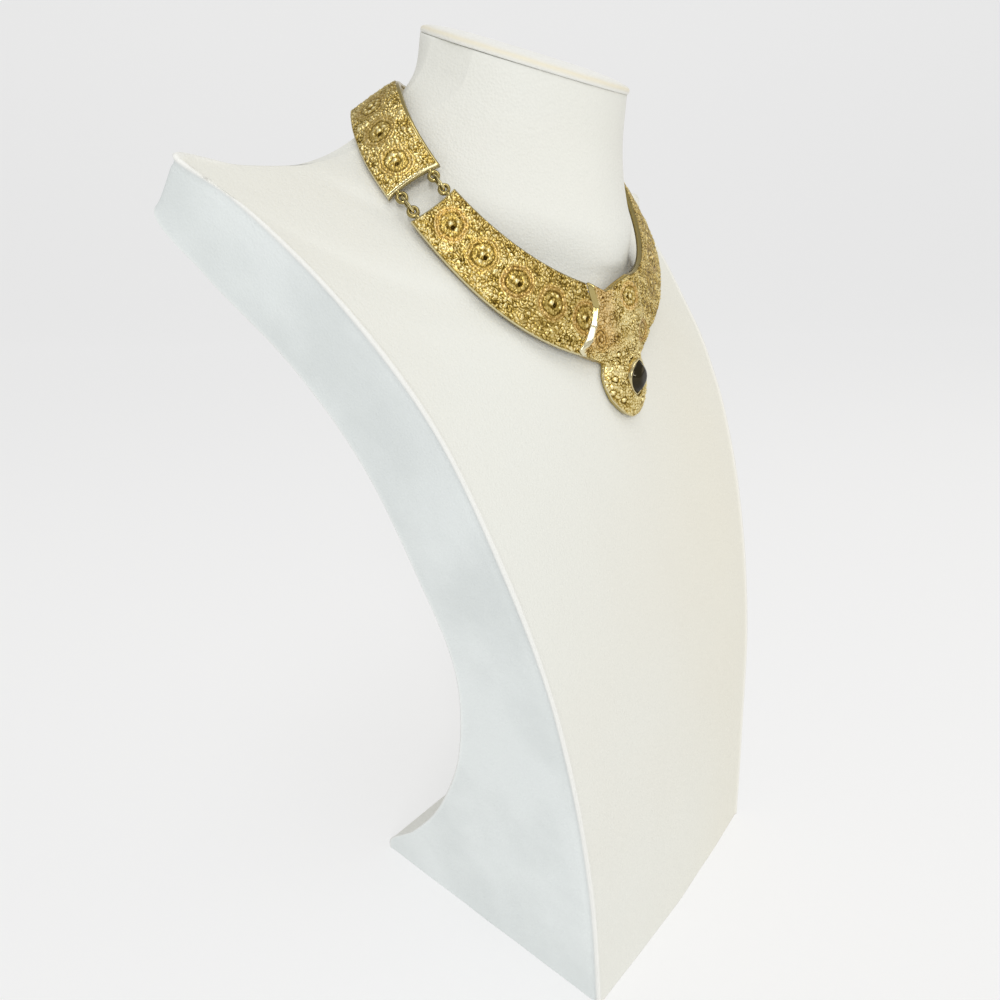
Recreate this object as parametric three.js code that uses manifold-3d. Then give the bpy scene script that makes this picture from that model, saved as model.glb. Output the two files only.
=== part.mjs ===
// Bib necklace of cast gilt metal on a padded neck bust.
// Millimetres, +Z up. The bust faces -Y and stands on z = 0; x grows to the right of a viewer
// who looks at its front. While it is built, y = 0 is the front edge of the base, and at the end
// the whole is moved so that the origin lies under the middle of its box.
import * as THREE from "three";
import { mergeVertices } from "three/addons/utils/BufferGeometryUtils.js";
import Module from "manifold-3d";

const wasm = await Module();
wasm.setup();

// ---------------------------------------------------------------- driving dimensions
const GAP = 0.35; // between neighbouring pieces

// The bust, as rows from the base up. Each row is one ring round it: the middle of its front (y, z),
// the edge seam of the front cover (x, y, z), the rear edge of the side strip (x, y, z), the middle
// of its back (y, z), and how far the ring has turned from the chest's curve into the neck's oval.
const BUST_ROWS = [
  { front: [0, 0], edge: [66.2, 2, 0], rear: [58, 125.5, 0], back: [126, 0], neck: 0 },
  { front: [0.2, 4], edge: [66.3, 2.2, 4], rear: [58, 125.5, 4], back: [126, 4], neck: 0 },
  { front: [1, 25], edge: [67.3, 3, 25], rear: [62, 104, 24], back: [105, 24], neck: 0 },
  { front: [2.4, 53], edge: [69.2, 4.5, 53], rear: [65, 84, 49], back: [86, 49], neck: 0 },
  { front: [6.2, 97], edge: [74.8, 8.1, 97], rear: [72, 64, 90], back: [67, 90], neck: 0 },
  { front: [13.7, 140], edge: [80.7, 15.4, 140], rear: [78, 59, 131], back: [62, 131], neck: 0 },
  { front: [26, 184], edge: [88.6, 28, 184], rear: [86, 68, 170], back: [71, 170], neck: 0 },
  { front: [35.2, 221], edge: [96.4, 47, 227], rear: [94, 82, 208], back: [84, 208], neck: 0 },
  { front: [39.8, 245], edge: [106.5, 73, 263], rear: [105, 101, 242], back: [101, 238], neck: 0 },
  { front: [41.9, 255], edge: [120.6, 98.9, 292], rear: [119, 121, 270], back: [113, 262], neck: 0 },
  { front: [43.2, 260], edge: [131, 108, 302.5], rear: [130, 125.5, 289], back: [118, 280], neck: 0 },
  { front: [44.4, 265.5], edge: [112, 109, 301.5], rear: [112, 119.5, 296], back: [120.5, 292], neck: 0 },
  { front: [42.5, 271.5], edge: [86.9, 109.5, 303.3], rear: [87, 117, 302.5], back: [123, 302], neck: 0.07 },
  { front: [42.3, 278.5], edge: [66.3, 109.9, 308.3], rear: [67, 116.4, 309.2], back: [124.5, 313], neck: 0.94 },
  { front: [45.5, 290], edge: [53.5, 97.3, 316.7], rear: [52.5, 108.8, 320], back: [120.8, 326], neck: 1 },
  { front: [48.2, 309], edge: [43.2, 79, 326.5], rear: [42.4, 96.8, 334], back: [118.4, 340], neck: 1 },
  { front: [46.7, 327.9], edge: [40.4, 74, 338], rear: [40.4, 92, 344.8], back: [118.4, 354.8], neck: 1 },
];
const BUST_FALL = { depth: 1.54, height: 2.8 }; // how the front falls back and climbs to its edge
const NECK_ROUND = 0.966; // share of the neck's half width that its front and back reach
const BUST_RINGS_PER_ROW = 2;
const BUST_FRONT_FACES = 16;
const BUST_BACK_FACES = 8;

// The padded cap on the neck: an oval as large as the neck's top, tilted with it.
const CAP = { rx: 41.8, ry: 38.7, roll: 0.6, edge: 1.6, crown: 4.4 };

// The collar's line, from the middle of the front round the left side to the nape, as sums of
// sines and cosines of the angle round the neck. It climbs as it goes back, and levels at the nape.
const COLLAR = {
  midY: 83.7, xs: [64.5, 1.2, 1.7], ys: [46.3, 3.5],
  frontZ: 248.4, climb: 0.961, climbMore: 0.00118, levelZ: 320, levelRise: 10,
  slope: [63, 16.4, 6.2], // of the band's width from level, in degrees
};
// Towards the nape the band lies flatter, draws in at its sides and reaches further back.
const NAPE = { from: 95, full: 140, flatter: 26, pinch: 0.06, reach: 4 };
// The necklace hangs askew: its right half lies higher, nearer the bust, closer in and flatter. The
// values grow from the middle of the front to the side, and fade before the nape.
const ASKEW = {
  middle: { inward: 0, back: 3.7, lift: 5.2, flatter: 0.7 },
  side: { inward: 2.6, back: 4.6, lift: 18.4, flatter: 15 },
  sideFrom: 75, fadeFrom: 80, fadeTo: 190,
};
const BAND_THICKNESS = 1.8;
const BAND_CROWN = 0.5;
const HINGE_END = 93.5; // length along the collar to the front panel's outer end
const BACK_START = 103.9;
const BACK_END = 188.5;
const FRONT_START = { left: 24, right: 3 }; // under the centre piece's two unlike edges
const FRONT_WIDTHS = { inner: 25.8, outer: 18.5, belly: 1.5 };
const BACK_WIDTH = 20.6;
const END_HOLLOW = 0.9;
const ROSETTE_RADIUS = 6.1;
const FRONT_ROSETTES = { count: 5, first: 28.1, step: 14.05, drop: 0 };
const BACK_ROSETTES = { count: 6, first: 113.2, step: 13.66, drop: 1.2 };

// Eyes cast on the panel ends and the oval links that join them.
const EYE = { ring: 1.5, wire: 0.7, reach: 2.2, spread: 6.4, lift: -0.5 };
const EYE_TAB = { length: 2.3, width: 1.5, height: 1.3 };
const LINK = { half: 3.05, rise: 1.5, wire: 0.5 };
const CLASP = { halfLength: 10, width: 6, thickness: 2, lap: 0.6 };

// The centre piece: corners of its outline as seen from the front, round from the crest.
const CENTRE_HUB = { x: 0, z: 240 };
const CENTRE_OUTLINE = [
  { x: 0.8, z: 266.4 }, { x: -3.2, z: 264.8 }, { x: -7, z: 263 }, { x: -10, z: 261.8 },
  { x: -13, z: 261.2 }, { x: -16.5, z: 262.4 }, { x: -20.5, z: 263.8 }, { x: -25, z: 264.4 },
  { x: -24, z: 260.5 }, { x: -22.8, z: 256.3 }, { x: -24.3, z: 250.2 }, { x: -27.1, z: 246.3 },
  { x: -30.3, z: 242.2 }, { x: -29.2, z: 240.2 }, { x: -25, z: 238.6 }, { x: -20.4, z: 237 },
  { x: -15.6, z: 235.2 }, { x: -16.5, z: 231.2 }, { x: -16.2, z: 227.5 }, { x: -13.8, z: 222.2 },
  { x: -10.6, z: 218.8 }, { x: -6.9, z: 216.2 }, { x: -1.8, z: 214.3 }, { x: 3.2, z: 215.2 },
  { x: 7.4, z: 217.6 }, { x: 10.4, z: 220.8 }, { x: 12.2, z: 225 }, { x: 12.4, z: 228.8 },
  { x: 11.2, z: 232.4 }, { x: 9.4, z: 236.4 }, { x: 12, z: 239.6 }, { x: 15.2, z: 242.4 },
  { x: 17.5, z: 244.8 }, { x: 16.5, z: 248.2 }, { x: 12.3, z: 251.8 }, { x: 9.3, z: 255 },
  { x: 7.8, z: 258 }, { x: 6, z: 261 }, { x: 2.6, z: 264.6 },
];
const CENTRE_THICKNESS = 3.2;
const CENTRE_RIDGE = [ // the face's highest line, above the drop
  { z: 230, x: -1.2, y: 33.2 }, { z: 238, x: -1.2, y: 33.4 }, { z: 244, x: 0, y: 34 },
  { z: 250, x: 3, y: 34.8 }, { z: 258.5, x: 6, y: 35.6 }, { z: 267, x: 2, y: 37.4 },
];
const VALLEY = { depth: 2.3, reach: 13, fall: 0.07 }; // to each side of the ridge, and on from there
const LIP = [ // the wall that stands up along the left edge: where its foot lies
  { z: 240.2, x: -29.2 }, { z: 242.2, x: -30.3 }, { z: 246.3, x: -27.1 }, { z: 250.2, x: -24.3 },
  { z: 256.3, x: -22.8 }, { z: 260.5, x: -24 }, { z: 264.4, x: -25 },
];
const LIP_FACE = { height: 4.2, width: 3.6, fromZ: 240, grows: 6 }; // low at its lower end
const DROP = { x: -2, z: 228.9, rx: 13.8, rz: 14.8, dome: 5.1, fullness: 0.8, rim: 0.8, offChest: 0.5 };
const DROP_TO_SHIELD = { fromZ: 233, height: 6 }; // where the dome passes into the face above it
const CENTRE_ROSETTES = [
  { x: 0.3, z: 258.8, radius: 5.2 },
  { x: -18.4, z: 244.7, radius: 4.6 },
  { x: 10, z: 245.6, radius: 4.8 },
];
const STUDS = [
  { x: -9, z: 238.3 }, { x: 6.2, z: 237.4 }, { x: -12.8, z: 229.9 }, { x: 9.3, z: 229.9 },
  { x: -13.9, z: 225 }, { x: 9.9, z: 224.6 }, { x: -9.8, z: 222 }, { x: 1.8, z: 220.6 },
];
const STONE = { x: -2, z: 229.7, halfWidth: 4.6, halfHeight: 6.1, crown: 2.7, seat: 0.5 };
const BEZEL = { wall: 0.8, height: 0.8, foot: 1.5 };
const MARQUISE_POINT = 0.5; // how sharply its outline runs to its two ends
const CLEARANCE = { front: 20, rear: 60, gap: GAP + 0.1 }; // round the centre piece, for the panels

// ---------------------------------------------------------------- materials
const gilt = () => new THREE.MeshStandardMaterial({ color: 0xc9a24a, roughness: 0.34, metalness: 1 });
const cover = () => new THREE.MeshStandardMaterial({ color: 0xe6e6de, roughness: 0.6, metalness: 0 });
const glassStone = () => new THREE.MeshStandardMaterial({ color: 0x1d1608, roughness: 0.06, metalness: 0 });

// ---------------------------------------------------------------- small helpers
const vec = (x, y, z) => new THREE.Vector3(x, y, z);
const lerp = THREE.MathUtils.lerp;
const smooth = (t) => THREE.MathUtils.smoothstep(t, 0, 1);
const mirrored = (p) => vec(-p.x, p.y, p.z);

// Reads values from rows sorted by a key, in between two rows by a straight line.
function readTable(rows, keyOf, key, valuesOf) {
  const above = rows.findIndex((row) => keyOf(row) > key);
  const from = above < 0 ? rows.length - 2 : Math.max(0, above - 1);
  const [low, high] = [rows[from], rows[from + 1]];
  const share = THREE.MathUtils.clamp((key - keyOf(low)) / (keyOf(high) - keyOf(low)), 0, 1);
  return valuesOf(low).map((value, i) => lerp(value, valuesOf(high)[i], share));
}

// A closed surface of points and triangles, turned over where its faces point inwards.
function facingOut(points, triangles) {
  let volume = 0;
  for (let i = 0; i < triangles.length; i += 3) {
    const [a, b, c] = [0, 1, 2].map((k) => points[triangles[i + k]]);
    volume += a.dot(vec(0, 0, 0).crossVectors(b, c));
  }
  const ordered = volume < 0 ? triangles.reverse() : triangles;
  return new THREE.BufferGeometry().setFromPoints(points).setIndex(ordered);
}

// A closed solid through rings of as many points each: capped at both ends, or joined end to end.
function loft(rings, isLoop = false) {
  const sides = rings[0].length;
  const points = rings.flat();
  const triangles = [];
  const spans = isLoop ? rings.length : rings.length - 1;
  for (let i = 0; i < spans; i++) {
    for (let j = 0; j < sides; j++) {
      const next = (j + 1) % sides;
      const [near, far] = [i * sides, ((i + 1) % rings.length) * sides];
      triangles.push(near + j, near + next, far + next, near + j, far + next, far + j);
    }
  }
  if (!isLoop) {
    for (const index of [0, rings.length - 1]) {
      const hub = points.length;
      points.push(rings[index].reduce((sum, p) => sum.add(p), vec(0, 0, 0)).divideScalar(sides));
      for (let j = 0; j < sides; j++) {
        const edge = [index * sides + j, index * sides + ((j + 1) % sides)];
        triangles.push(hub, ...(index === 0 ? edge.reverse() : edge));
      }
    }
  }
  return facingOut(points, triangles);
}

function toSolid(geometry) {
  const bare = geometry.clone();
  bare.deleteAttribute("normal");
  bare.deleteAttribute("uv");
  const merged = mergeVertices(bare, 1e-4);
  return new wasm.Manifold(
    new wasm.Mesh({
      numProp: 3,
      vertProperties: new Float32Array(merged.attributes.position.array),
      triVerts: new Uint32Array(merged.index.array),
    }),
  );
}

function toGeometry(solid) {
  const mesh = solid.getMesh();
  const positions = new Float32Array(mesh.numVert * 3);
  for (let i = 0; i < mesh.numVert; i++) {
    positions.set(mesh.vertProperties.subarray(i * mesh.numProp, i * mesh.numProp + 3), i * 3);
  }
  return new THREE.BufferGeometry()
    .setAttribute("position", new THREE.BufferAttribute(positions, 3))
    .setIndex(new THREE.BufferAttribute(mesh.triVerts, 1));
}

const join = (geometries) => toGeometry(wasm.Manifold.union(geometries.map(toSolid)));

// Cuts a tool away and keeps the largest body that is left.
function cut(geometry, tool) {
  const bodies = toSolid(geometry).subtract(toSolid(tool)).decompose();
  return toGeometry(bodies.sort((a, b) => b.volume() - a.volume())[0]);
}

function turnedOver(geometry) {
  return bent(geometry, mirrored);
}

// Moves every vertex of a geometry by a rule from its own place to a new one.
function bent(geometry, place) {
  const { position } = geometry.attributes;
  const vertex = (i) => vec(0, 0, 0).fromBufferAttribute(position, i);
  const points = Array.from({ length: position.count }, (_, i) => place(vertex(i)));
  return facingOut(points, Array.from(geometry.index.array));
}

// ---------------------------------------------------------------- bust
const lineThrough = (place) => new THREE.CatmullRomCurve3(BUST_ROWS.map((row) => vec(...place(row))));
const frontLine = lineThrough((row) => [0, ...row.front]);
const backLine = lineThrough((row) => [0, ...row.back]);
const edgeLine = lineThrough((row) => row.edge);
const rearLine = lineThrough((row) => row.rear);

const ellipseFall = (share) =>
  (1 - Math.sqrt(1 - (NECK_ROUND * share) ** 2)) / (1 - Math.sqrt(1 - NECK_ROUND ** 2));
const bustFall = (share, power, neck) => lerp(share ** power, ellipseFall(share), neck);

function bustArc(middle, edge, neck, faces) {
  const widest = Math.asin(NECK_ROUND);
  return Array.from({ length: faces + 1 }, (_, i) => {
    const step = lerp(-1, 1, i / faces);
    const across = lerp(step, Math.sin(widest * step) / NECK_ROUND, neck);
    const share = Math.abs(across);
    const y = lerp(middle.y, edge.y, bustFall(share, BUST_FALL.depth, neck));
    const z = lerp(middle.z, edge.z, bustFall(share, BUST_FALL.height, neck));
    return vec(across * edge.x, y, z);
  });
}

function bustRing(v) {
  const row = v * (BUST_ROWS.length - 1);
  const low = Math.min(Math.floor(row), BUST_ROWS.length - 2);
  const neck = lerp(BUST_ROWS[low].neck, BUST_ROWS[low + 1].neck, row - low);
  const [edge, rear] = [edgeLine.getPoint(v), rearLine.getPoint(v)];
  const front = bustArc(frontLine.getPoint(v), edge, neck, BUST_FRONT_FACES);
  const back = bustArc(backLine.getPoint(v), rear, neck, BUST_BACK_FACES).reverse();
  return [...front, ...back];
}

function bustBody() {
  const count = (BUST_ROWS.length - 1) * BUST_RINGS_PER_ROW;
  return loft(Array.from({ length: count + 1 }, (_, i) => bustRing(i / count)));
}

// Depth of the bust's front at x and z, low enough on the chest that the rings are nearly level.
function chestDepth(x, z) {
  const [frontY] = readTable(BUST_ROWS, (row) => row.front.at(-1), z, (row) => row.front);
  const [edgeX, edgeY] = readTable(BUST_ROWS, (row) => row.edge.at(-1), z, (row) => row.edge);
  return lerp(frontY, edgeY, bustFall(Math.abs(x) / edgeX, BUST_FALL.depth, 0));
}

function capPad() {
  const top = BUST_ROWS.at(-1);
  const [run, rise] = [top.back[0] - top.front[0], top.back[1] - top.front[1]];
  const profile = [
    [0, 0], [CAP.rx - CAP.roll, 0], [CAP.rx, CAP.roll], [CAP.rx, CAP.edge], [CAP.rx - CAP.edge, 2 * CAP.edge],
    [0.7 * CAP.rx, 0.85 * CAP.crown], [0, CAP.crown],
  ].map(([r, h]) => new THREE.Vector2(r, h));
  const pad = new THREE.LatheGeometry(profile, 28);
  pad.rotateX(Math.PI / 2);
  pad.scale(1, CAP.ry / CAP.rx, 1);
  pad.translate(0, 0, GAP);
  pad.rotateX(Math.atan2(rise, run));
  pad.translate(0, top.front[0] + run / 2, top.front[1] + rise / 2);
  return pad;
}

// ---------------------------------------------------------------- collar
const napeShare = (u, full) => smooth((180 * u - NAPE.from) / (full - NAPE.from));

// How far the right half has left its level hang a length s along the collar.
function askewAt(s) {
  const grown = smooth(s / ASKEW.sideFrom);
  const kept = 1 - smooth((s - ASKEW.fadeFrom) / (ASKEW.fadeTo - ASKEW.fadeFrom));
  const value = (key) => kept * lerp(ASKEW.middle[key], ASKEW.side[key], grown);
  return { inward: value("inward"), back: value("back"), lift: value("lift"), flatter: value("flatter") };
}

class CollarLine extends THREE.Curve {
  constructor(isAskew) {
    super();
    this.isAskew = isAskew;
  }

  getPoint(u, target = vec(0, 0, 0)) {
    const t = u * Math.PI;
    const side = COLLAR.xs.reduce((sum, a, i) => sum + a * Math.sin((i + 1) * t), 0);
    const x = -side * (1 - NAPE.pinch * napeShare(u, NAPE.full));
    const ahead = (angle) => COLLAR.ys.reduce((sum, b, i) => sum + b * Math.cos((i + 1) * angle), 0);
    const run = ahead(0) - ahead(t);
    const climbed = COLLAR.frontZ + COLLAR.climb * run + COLLAR.climbMore * run * run;
    const over = Math.max(0, climbed - COLLAR.levelZ);
    const z = climbed - over + COLLAR.levelRise * Math.tanh(over / COLLAR.levelRise);
    target.set(x, COLLAR.midY - ahead(t) + NAPE.reach * napeShare(u, 180), z);
    if (!this.isAskew) return target;
    const moved = askewAt(lengthAt(u));
    return target.add(vec(moved.inward, moved.back, moved.lift));
  }
}
const levelLine = new CollarLine(false);
const askewLine = new CollarLine(true);
const HALF_LOOP = levelLine.getLength();

// Length along the level half of the collar up to a share u of its turn round the neck.
function lengthAt(u) {
  const lengths = levelLine.getLengths();
  const place = THREE.MathUtils.clamp(u, 0, 1) * (lengths.length - 1);
  const low = Math.min(Math.floor(place), lengths.length - 2);
  return lerp(lengths[low], lengths[low + 1], place - low);
}

// The frame of the band a length s along a half: its line, width and outward directions.
function bandFrame(isAskew, s) {
  const line = isAskew ? askewLine : levelLine;
  const u = levelLine.getUtoTmapping(s / HALF_LOOP);
  const along = line.getTangent(u);
  const level = COLLAR.slope.reduce((sum, a, i) => sum + a * Math.cos(i * u * Math.PI), 0);
  const flatter = NAPE.flatter * napeShare(u, NAPE.full) + (isAskew ? askewAt(s).flatter : 0);
  const slope = THREE.MathUtils.degToRad(level - flatter);
  const inward = vec(along.y, -along.x, 0).normalize();
  const width = inward.multiplyScalar(Math.cos(slope)).add(vec(0, 0, Math.sin(slope)));
  width.addScaledVector(along, -width.dot(along)).normalize();
  return { at: line.getPoint(u), width, out: vec(0, 0, 0).crossVectors(width, along) };
}

// A place on the band: s along it, w up across it, h out from its face. Past the nape it is the
// other half of the loop, seen in a mirror. Both halves are made as the left one, and the right
// one is turned over when it is whole.
function bandPoint(isAskew, s, w, h) {
  if (s > HALF_LOOP) return mirrored(bandPoint(isAskew, 2 * HALF_LOOP - s, w, h));
  const frame = bandFrame(isAskew, Math.max(0, s));
  return frame.at.addScaledVector(frame.width, w).addScaledVector(frame.out, h);
}

// A flower relief for a face: a raised outer ring, a lobed flower and a centre bead.
function rosette(radius) {
  const lobes = 5;
  const sides = 2 * lobes;
  const profile = [
    { r: 1, h: -0.9, lobe: 0 },
    { r: 1, h: 0.1, lobe: 0 },
    { r: 0.86, h: 0.8, lobe: 0 },
    { r: 0.7, h: 0.1, lobe: 0 },
    { r: 0.45, h: 0.75, lobe: 0.12 },
    { r: 0.17, h: 1.1, lobe: 0 },
  ];
  const ring = ({ r, h, lobe }) =>
    Array.from({ length: sides }, (_, j) => {
      const angle = (j / sides) * 2 * Math.PI;
      const reach = radius * (r + lobe * Math.cos(lobes * angle));
      return vec(reach * Math.cos(angle), reach * Math.sin(angle), h);
    });
  return loft(profile.map(ring));
}

// A band panel between two lengths, with hollowed ends where asked.
function bandPanel(isAskew, { from, to, steps, widthAt, hollowFrom, hollowTo }) {
  const across = [-1, -0.5, 0, 0.5, 1];
  const rings = [];
  for (let i = 0; i <= steps; i++) {
    const share = i / steps;
    const { low, high } = widthAt(lerp(from, to, share));
    const place = (side, h) => {
      const w = side < 0 ? -side * low : side * high;
      const hollow = 1 - side * side;
      const s = lerp(from + hollowFrom * hollow, to - hollowTo * hollow, share);
      return bandPoint(isAskew, s, w, h);
    };
    const face = across.map((side) => place(side, BAND_CROWN * (1 - side * side)));
    const rear = [1, 0, -1].map((side) => place(side, -BAND_THICKNESS + BAND_CROWN * (1 - side * side)));
    rings.push([...face, ...rear]);
  }
  return loft(rings);
}

const onBand = (isAskew, geometry, s, w, lift) =>
  bent(geometry, (p) => bandPoint(isAskew, s + p.x, w + p.y, p.z + lift));

// An eye beyond a panel's end, its hole facing outward, with the tab that carries it.
function eye(isAskew, s, w, towards) {
  const ring = new THREE.TorusGeometry(EYE.ring, EYE.wire, 5, 10);
  const tab = new THREE.BoxGeometry(EYE_TAB.length, EYE_TAB.width, EYE_TAB.height);
  tab.translate(-towards * (EYE.ring + EYE.wire / 2 + EYE_TAB.length / 2 - EYE.wire), 0, 0);
  return join([ring, tab].map((shape) => onBand(isAskew, shape, s + towards * EYE.reach, w, EYE.lift)));
}

function frontWidth(s) {
  const share = THREE.MathUtils.clamp(s / HINGE_END, 0, 1);
  const half = lerp(FRONT_WIDTHS.inner, FRONT_WIDTHS.outer, share) / 2;
  return { low: -half - FRONT_WIDTHS.belly * Math.sin(Math.PI * share) ** 2, high: half };
}
const backWidth = () => ({ low: -BACK_WIDTH / 2, high: BACK_WIDTH / 2 });

function rosettesOn(isAskew, { count, first, step, drop }) {
  const one = rosette(ROSETTE_RADIUS);
  const place = (k) => onBand(isAskew, one, first + k * step, -drop, BAND_CROWN);
  return Array.from({ length: count }, (_, k) => place(k));
}

function frontPanel(isAskew, start) {
  const plate = bandPanel(isAskew, {
    from: start,
    to: HINGE_END,
    steps: 18,
    widthAt: frontWidth,
    hollowFrom: 0,
    hollowTo: END_HOLLOW,
  });
  const eyes = [-1, 1].map((side) => eye(isAskew, HINGE_END, side * EYE.spread, 1));
  return join([plate, ...rosettesOn(isAskew, FRONT_ROSETTES), ...eyes]);
}

function backPanel(isAskew) {
  const plate = bandPanel(isAskew, {
    from: BACK_START,
    to: BACK_END,
    steps: 16,
    widthAt: backWidth,
    hollowFrom: END_HOLLOW,
    hollowTo: 0,
  });
  const eyes = [-1, 1].map((side) => eye(isAskew, BACK_START, side * EYE.spread, -1));
  const lastEye = eye(isAskew, BACK_END, 0, 1);
  return join([plate, ...rosettesOn(isAskew, BACK_ROSETTES), ...eyes, lastEye]);
}

// A closed wire ring of long oval form that stands across the band's face.
function standingRing(isAskew, s, w, { half, rise, wire }) {
  const [steps, sides] = [14, 5];
  const straight = half - rise;
  const rings = Array.from({ length: steps }, (_, i) => {
    const angle = ((i + 0.5) / steps) * 2 * Math.PI;
    const out = vec(Math.cos(angle), 0, Math.sin(angle));
    const centre = out.clone().multiplyScalar(rise);
    centre.x += straight * Math.sign(out.x);
    return Array.from({ length: sides }, (_, j) => {
      const turn = (j / sides) * 2 * Math.PI;
      const point = centre.clone().addScaledVector(out, wire * Math.cos(turn));
      return point.setY(wire * Math.sin(turn));
    });
  });
  return onBand(isAskew, loft(rings, true), s, w, EYE.lift);
}

function hingeLink(isAskew, side) {
  return standingRing(isAskew, (HINGE_END + BACK_START) / 2, side * EYE.spread, LINK);
}

// The plain clasp at the nape: a curved bar with a ring at each end through the panels' last eyes.
function clasp() {
  const steps = 8;
  const section = new THREE.Shape()
    .ellipse(0, 0, CLASP.width / 2, CLASP.thickness / 2, 0, 2 * Math.PI)
    .getPoints(5)
    .slice(0, -1);
  const rings = Array.from({ length: steps + 1 }, (_, i) => {
    const s = HALF_LOOP + lerp(-CLASP.halfLength, CLASP.halfLength, i / steps);
    return section.map((corner) => bandPoint(false, s, corner.x, corner.y + EYE.lift));
  });
  const eyeAt = BACK_END + EYE.reach;
  const half = (HALF_LOOP - CLASP.halfLength + CLASP.lap - eyeAt) / 2;
  const ends = [eyeAt + half, 2 * HALF_LOOP - eyeAt - half];
  const rims = ends.map((s) => standingRing(false, s, 0, { ...LINK, half }));
  return join([loft(rings), ...rims]);
}

// ---------------------------------------------------------------- centre piece
// Depth of the face: a ridge down the shield, a valley to each side of it, a lip along the wall at
// the left, and the dome of the drop below.
function faceDepth(x, z) {
  const [ridgeX, ridgeY] = readTable(CENTRE_RIDGE, (row) => row.z, z, (row) => [row.x, row.y]);
  const [wallX] = readTable(LIP, (row) => row.z, z, (row) => [row.x]);
  const aside = Math.abs(x - ridgeX);
  const beyond = VALLEY.fall * Math.max(0, aside - VALLEY.reach);
  const valley = VALLEY.depth * smooth(aside / VALLEY.reach) + beyond;
  const height = LIP_FACE.height * smooth((z - LIP_FACE.fromZ) / LIP_FACE.grows);
  const lip = height * smooth(1 - (x - wallX) / LIP_FACE.width);
  const rim = chestDepth(x, z) - DROP.offChest - DROP.rim;
  const reach = Math.hypot((x - DROP.x) / DROP.rx, (z - DROP.z) / DROP.rz);
  const dome = rim - DROP.dome * Math.max(0, 1 - reach ** 2) ** DROP.fullness;
  const shield = Math.min(ridgeY + valley - lip, rim);
  return lerp(dome, shield, smooth((z - DROP_TO_SHIELD.fromZ) / DROP_TO_SHIELD.height));
}

function centreRing(share, depthAt, grow = 0) {
  return CENTRE_OUTLINE.map((corner) => {
    const out = new THREE.Vector2(corner.x - CENTRE_HUB.x, corner.z - CENTRE_HUB.z);
    out.setLength(out.length() + grow).multiplyScalar(share);
    const [x, z] = [CENTRE_HUB.x + out.x, CENTRE_HUB.z + out.y];
    return vec(x, depthAt(x, z), z);
  });
}

function rearDepth(x, z) {
  return Math.min(chestDepth(x, z) - DROP.offChest, faceDepth(x, z) + CENTRE_THICKNESS);
}

// A flat relief set on the centre piece's face at x and z, its height pointing to the front.
const onFace = (geometry, x, z, depthAt = faceDepth) =>
  bent(geometry, (p) => vec(x + p.x, depthAt(x + p.x, z + p.y) - p.z, z + p.y));

// A marquise outline: two arcs that meet in points above and below.
function marquise(halfWidth, halfHeight, grow, sides = 16) {
  return Array.from({ length: sides }, (_, j) => {
    const angle = (j / sides) * 2 * Math.PI;
    const across = Math.cos(angle) * Math.abs(Math.cos(angle)) ** MARQUISE_POINT;
    return new THREE.Vector2(across * (halfWidth + grow), Math.sin(angle) * (halfHeight + grow));
  });
}

const marquiseRing = (grow, depthAt, share = 1) =>
  marquise(STONE.halfWidth, STONE.halfHeight, grow).map((p) => {
    const [x, z] = [STONE.x + p.x * share, STONE.z + p.y * share];
    return vec(x, depthAt(x, z), z);
  });

const marquisePrism = (grow, rear, front) =>
  loft([marquiseRing(grow, () => rear), marquiseRing(grow, () => front)]);

const stoneSeat = () => faceDepth(STONE.x, STONE.z) + STONE.seat;

function centrePiece() {
  const plate = loft([
    ...[0.25, 0.6, 1].map((share) => centreRing(share, rearDepth)),
    ...[1, 0.9, 0.75, 0.58, 0.4, 0.2].map((share) => centreRing(share, faceDepth)),
  ]);
  const parts = [plate];
  for (const { x, z, radius } of CENTRE_ROSETTES) parts.push(onFace(rosette(radius), x, z));
  for (const { x, z } of STUDS) parts.push(onFace(new THREE.SphereGeometry(1, 6, 4), x, z));
  const rim = stoneSeat() - BEZEL.height;
  parts.push(marquisePrism(BEZEL.wall, stoneSeat() + BEZEL.foot, rim));
  const pocket = marquisePrism(GAP, stoneSeat(), rim - BEZEL.foot);
  return cut(join(parts), pocket);
}

function stone() {
  const rear = stoneSeat() - GAP;
  const girdle = stoneSeat() - BEZEL.height;
  const crown = (share) => () => girdle - STONE.crown * Math.sqrt(1 - share * share);
  return loft([
    marquiseRing(0, () => rear),
    marquiseRing(0, () => girdle),
    ...[0.92, 0.75, 0.5, 0.25].map((share) => marquiseRing(0, crown(share), share)),
  ]);
}

// What the panels are cut away by, so that they meet the centre piece with an even gap.
const centreClearance = () =>
  loft([CLEARANCE.front, CLEARANCE.rear].map((y) => centreRing(1, () => y, CLEARANCE.gap)));

// ---------------------------------------------------------------- assembly
const body = new THREE.Group();
function add(name, geometry, material) {
  const mesh = new THREE.Mesh(geometry, material);
  mesh.name = name;
  body.add(mesh);
}

add("neck_bust", bustBody(), cover());
add("neck_cap", capPad(), cover());
add("front_panel_left", cut(frontPanel(false, FRONT_START.left), centreClearance()), gilt());
const rightFront = turnedOver(frontPanel(true, FRONT_START.right));
add("front_panel_right", cut(rightFront, centreClearance()), gilt());
add("back_panel_left", backPanel(false), gilt());
add("back_panel_right", turnedOver(backPanel(true)), gilt());
for (const [end, side] of [["lower", -1], ["upper", 1]]) {
  add(`link_left_${end}`, hingeLink(false, side), gilt());
  add(`link_right_${end}`, turnedOver(hingeLink(true, side)), gilt());
}
add("clasp", clasp(), gilt());
add("centre_piece", centrePiece(), gilt());
add("stone", stone(), glassStone());

const box = new THREE.Box3().setFromObject(body);
body.position.set(0, -(box.min.y + box.max.y) / 2, -box.min.z);

const necklaceOnBust = new THREE.Group();
necklaceOnBust.add(body);
export default necklaceOnBust;
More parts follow.
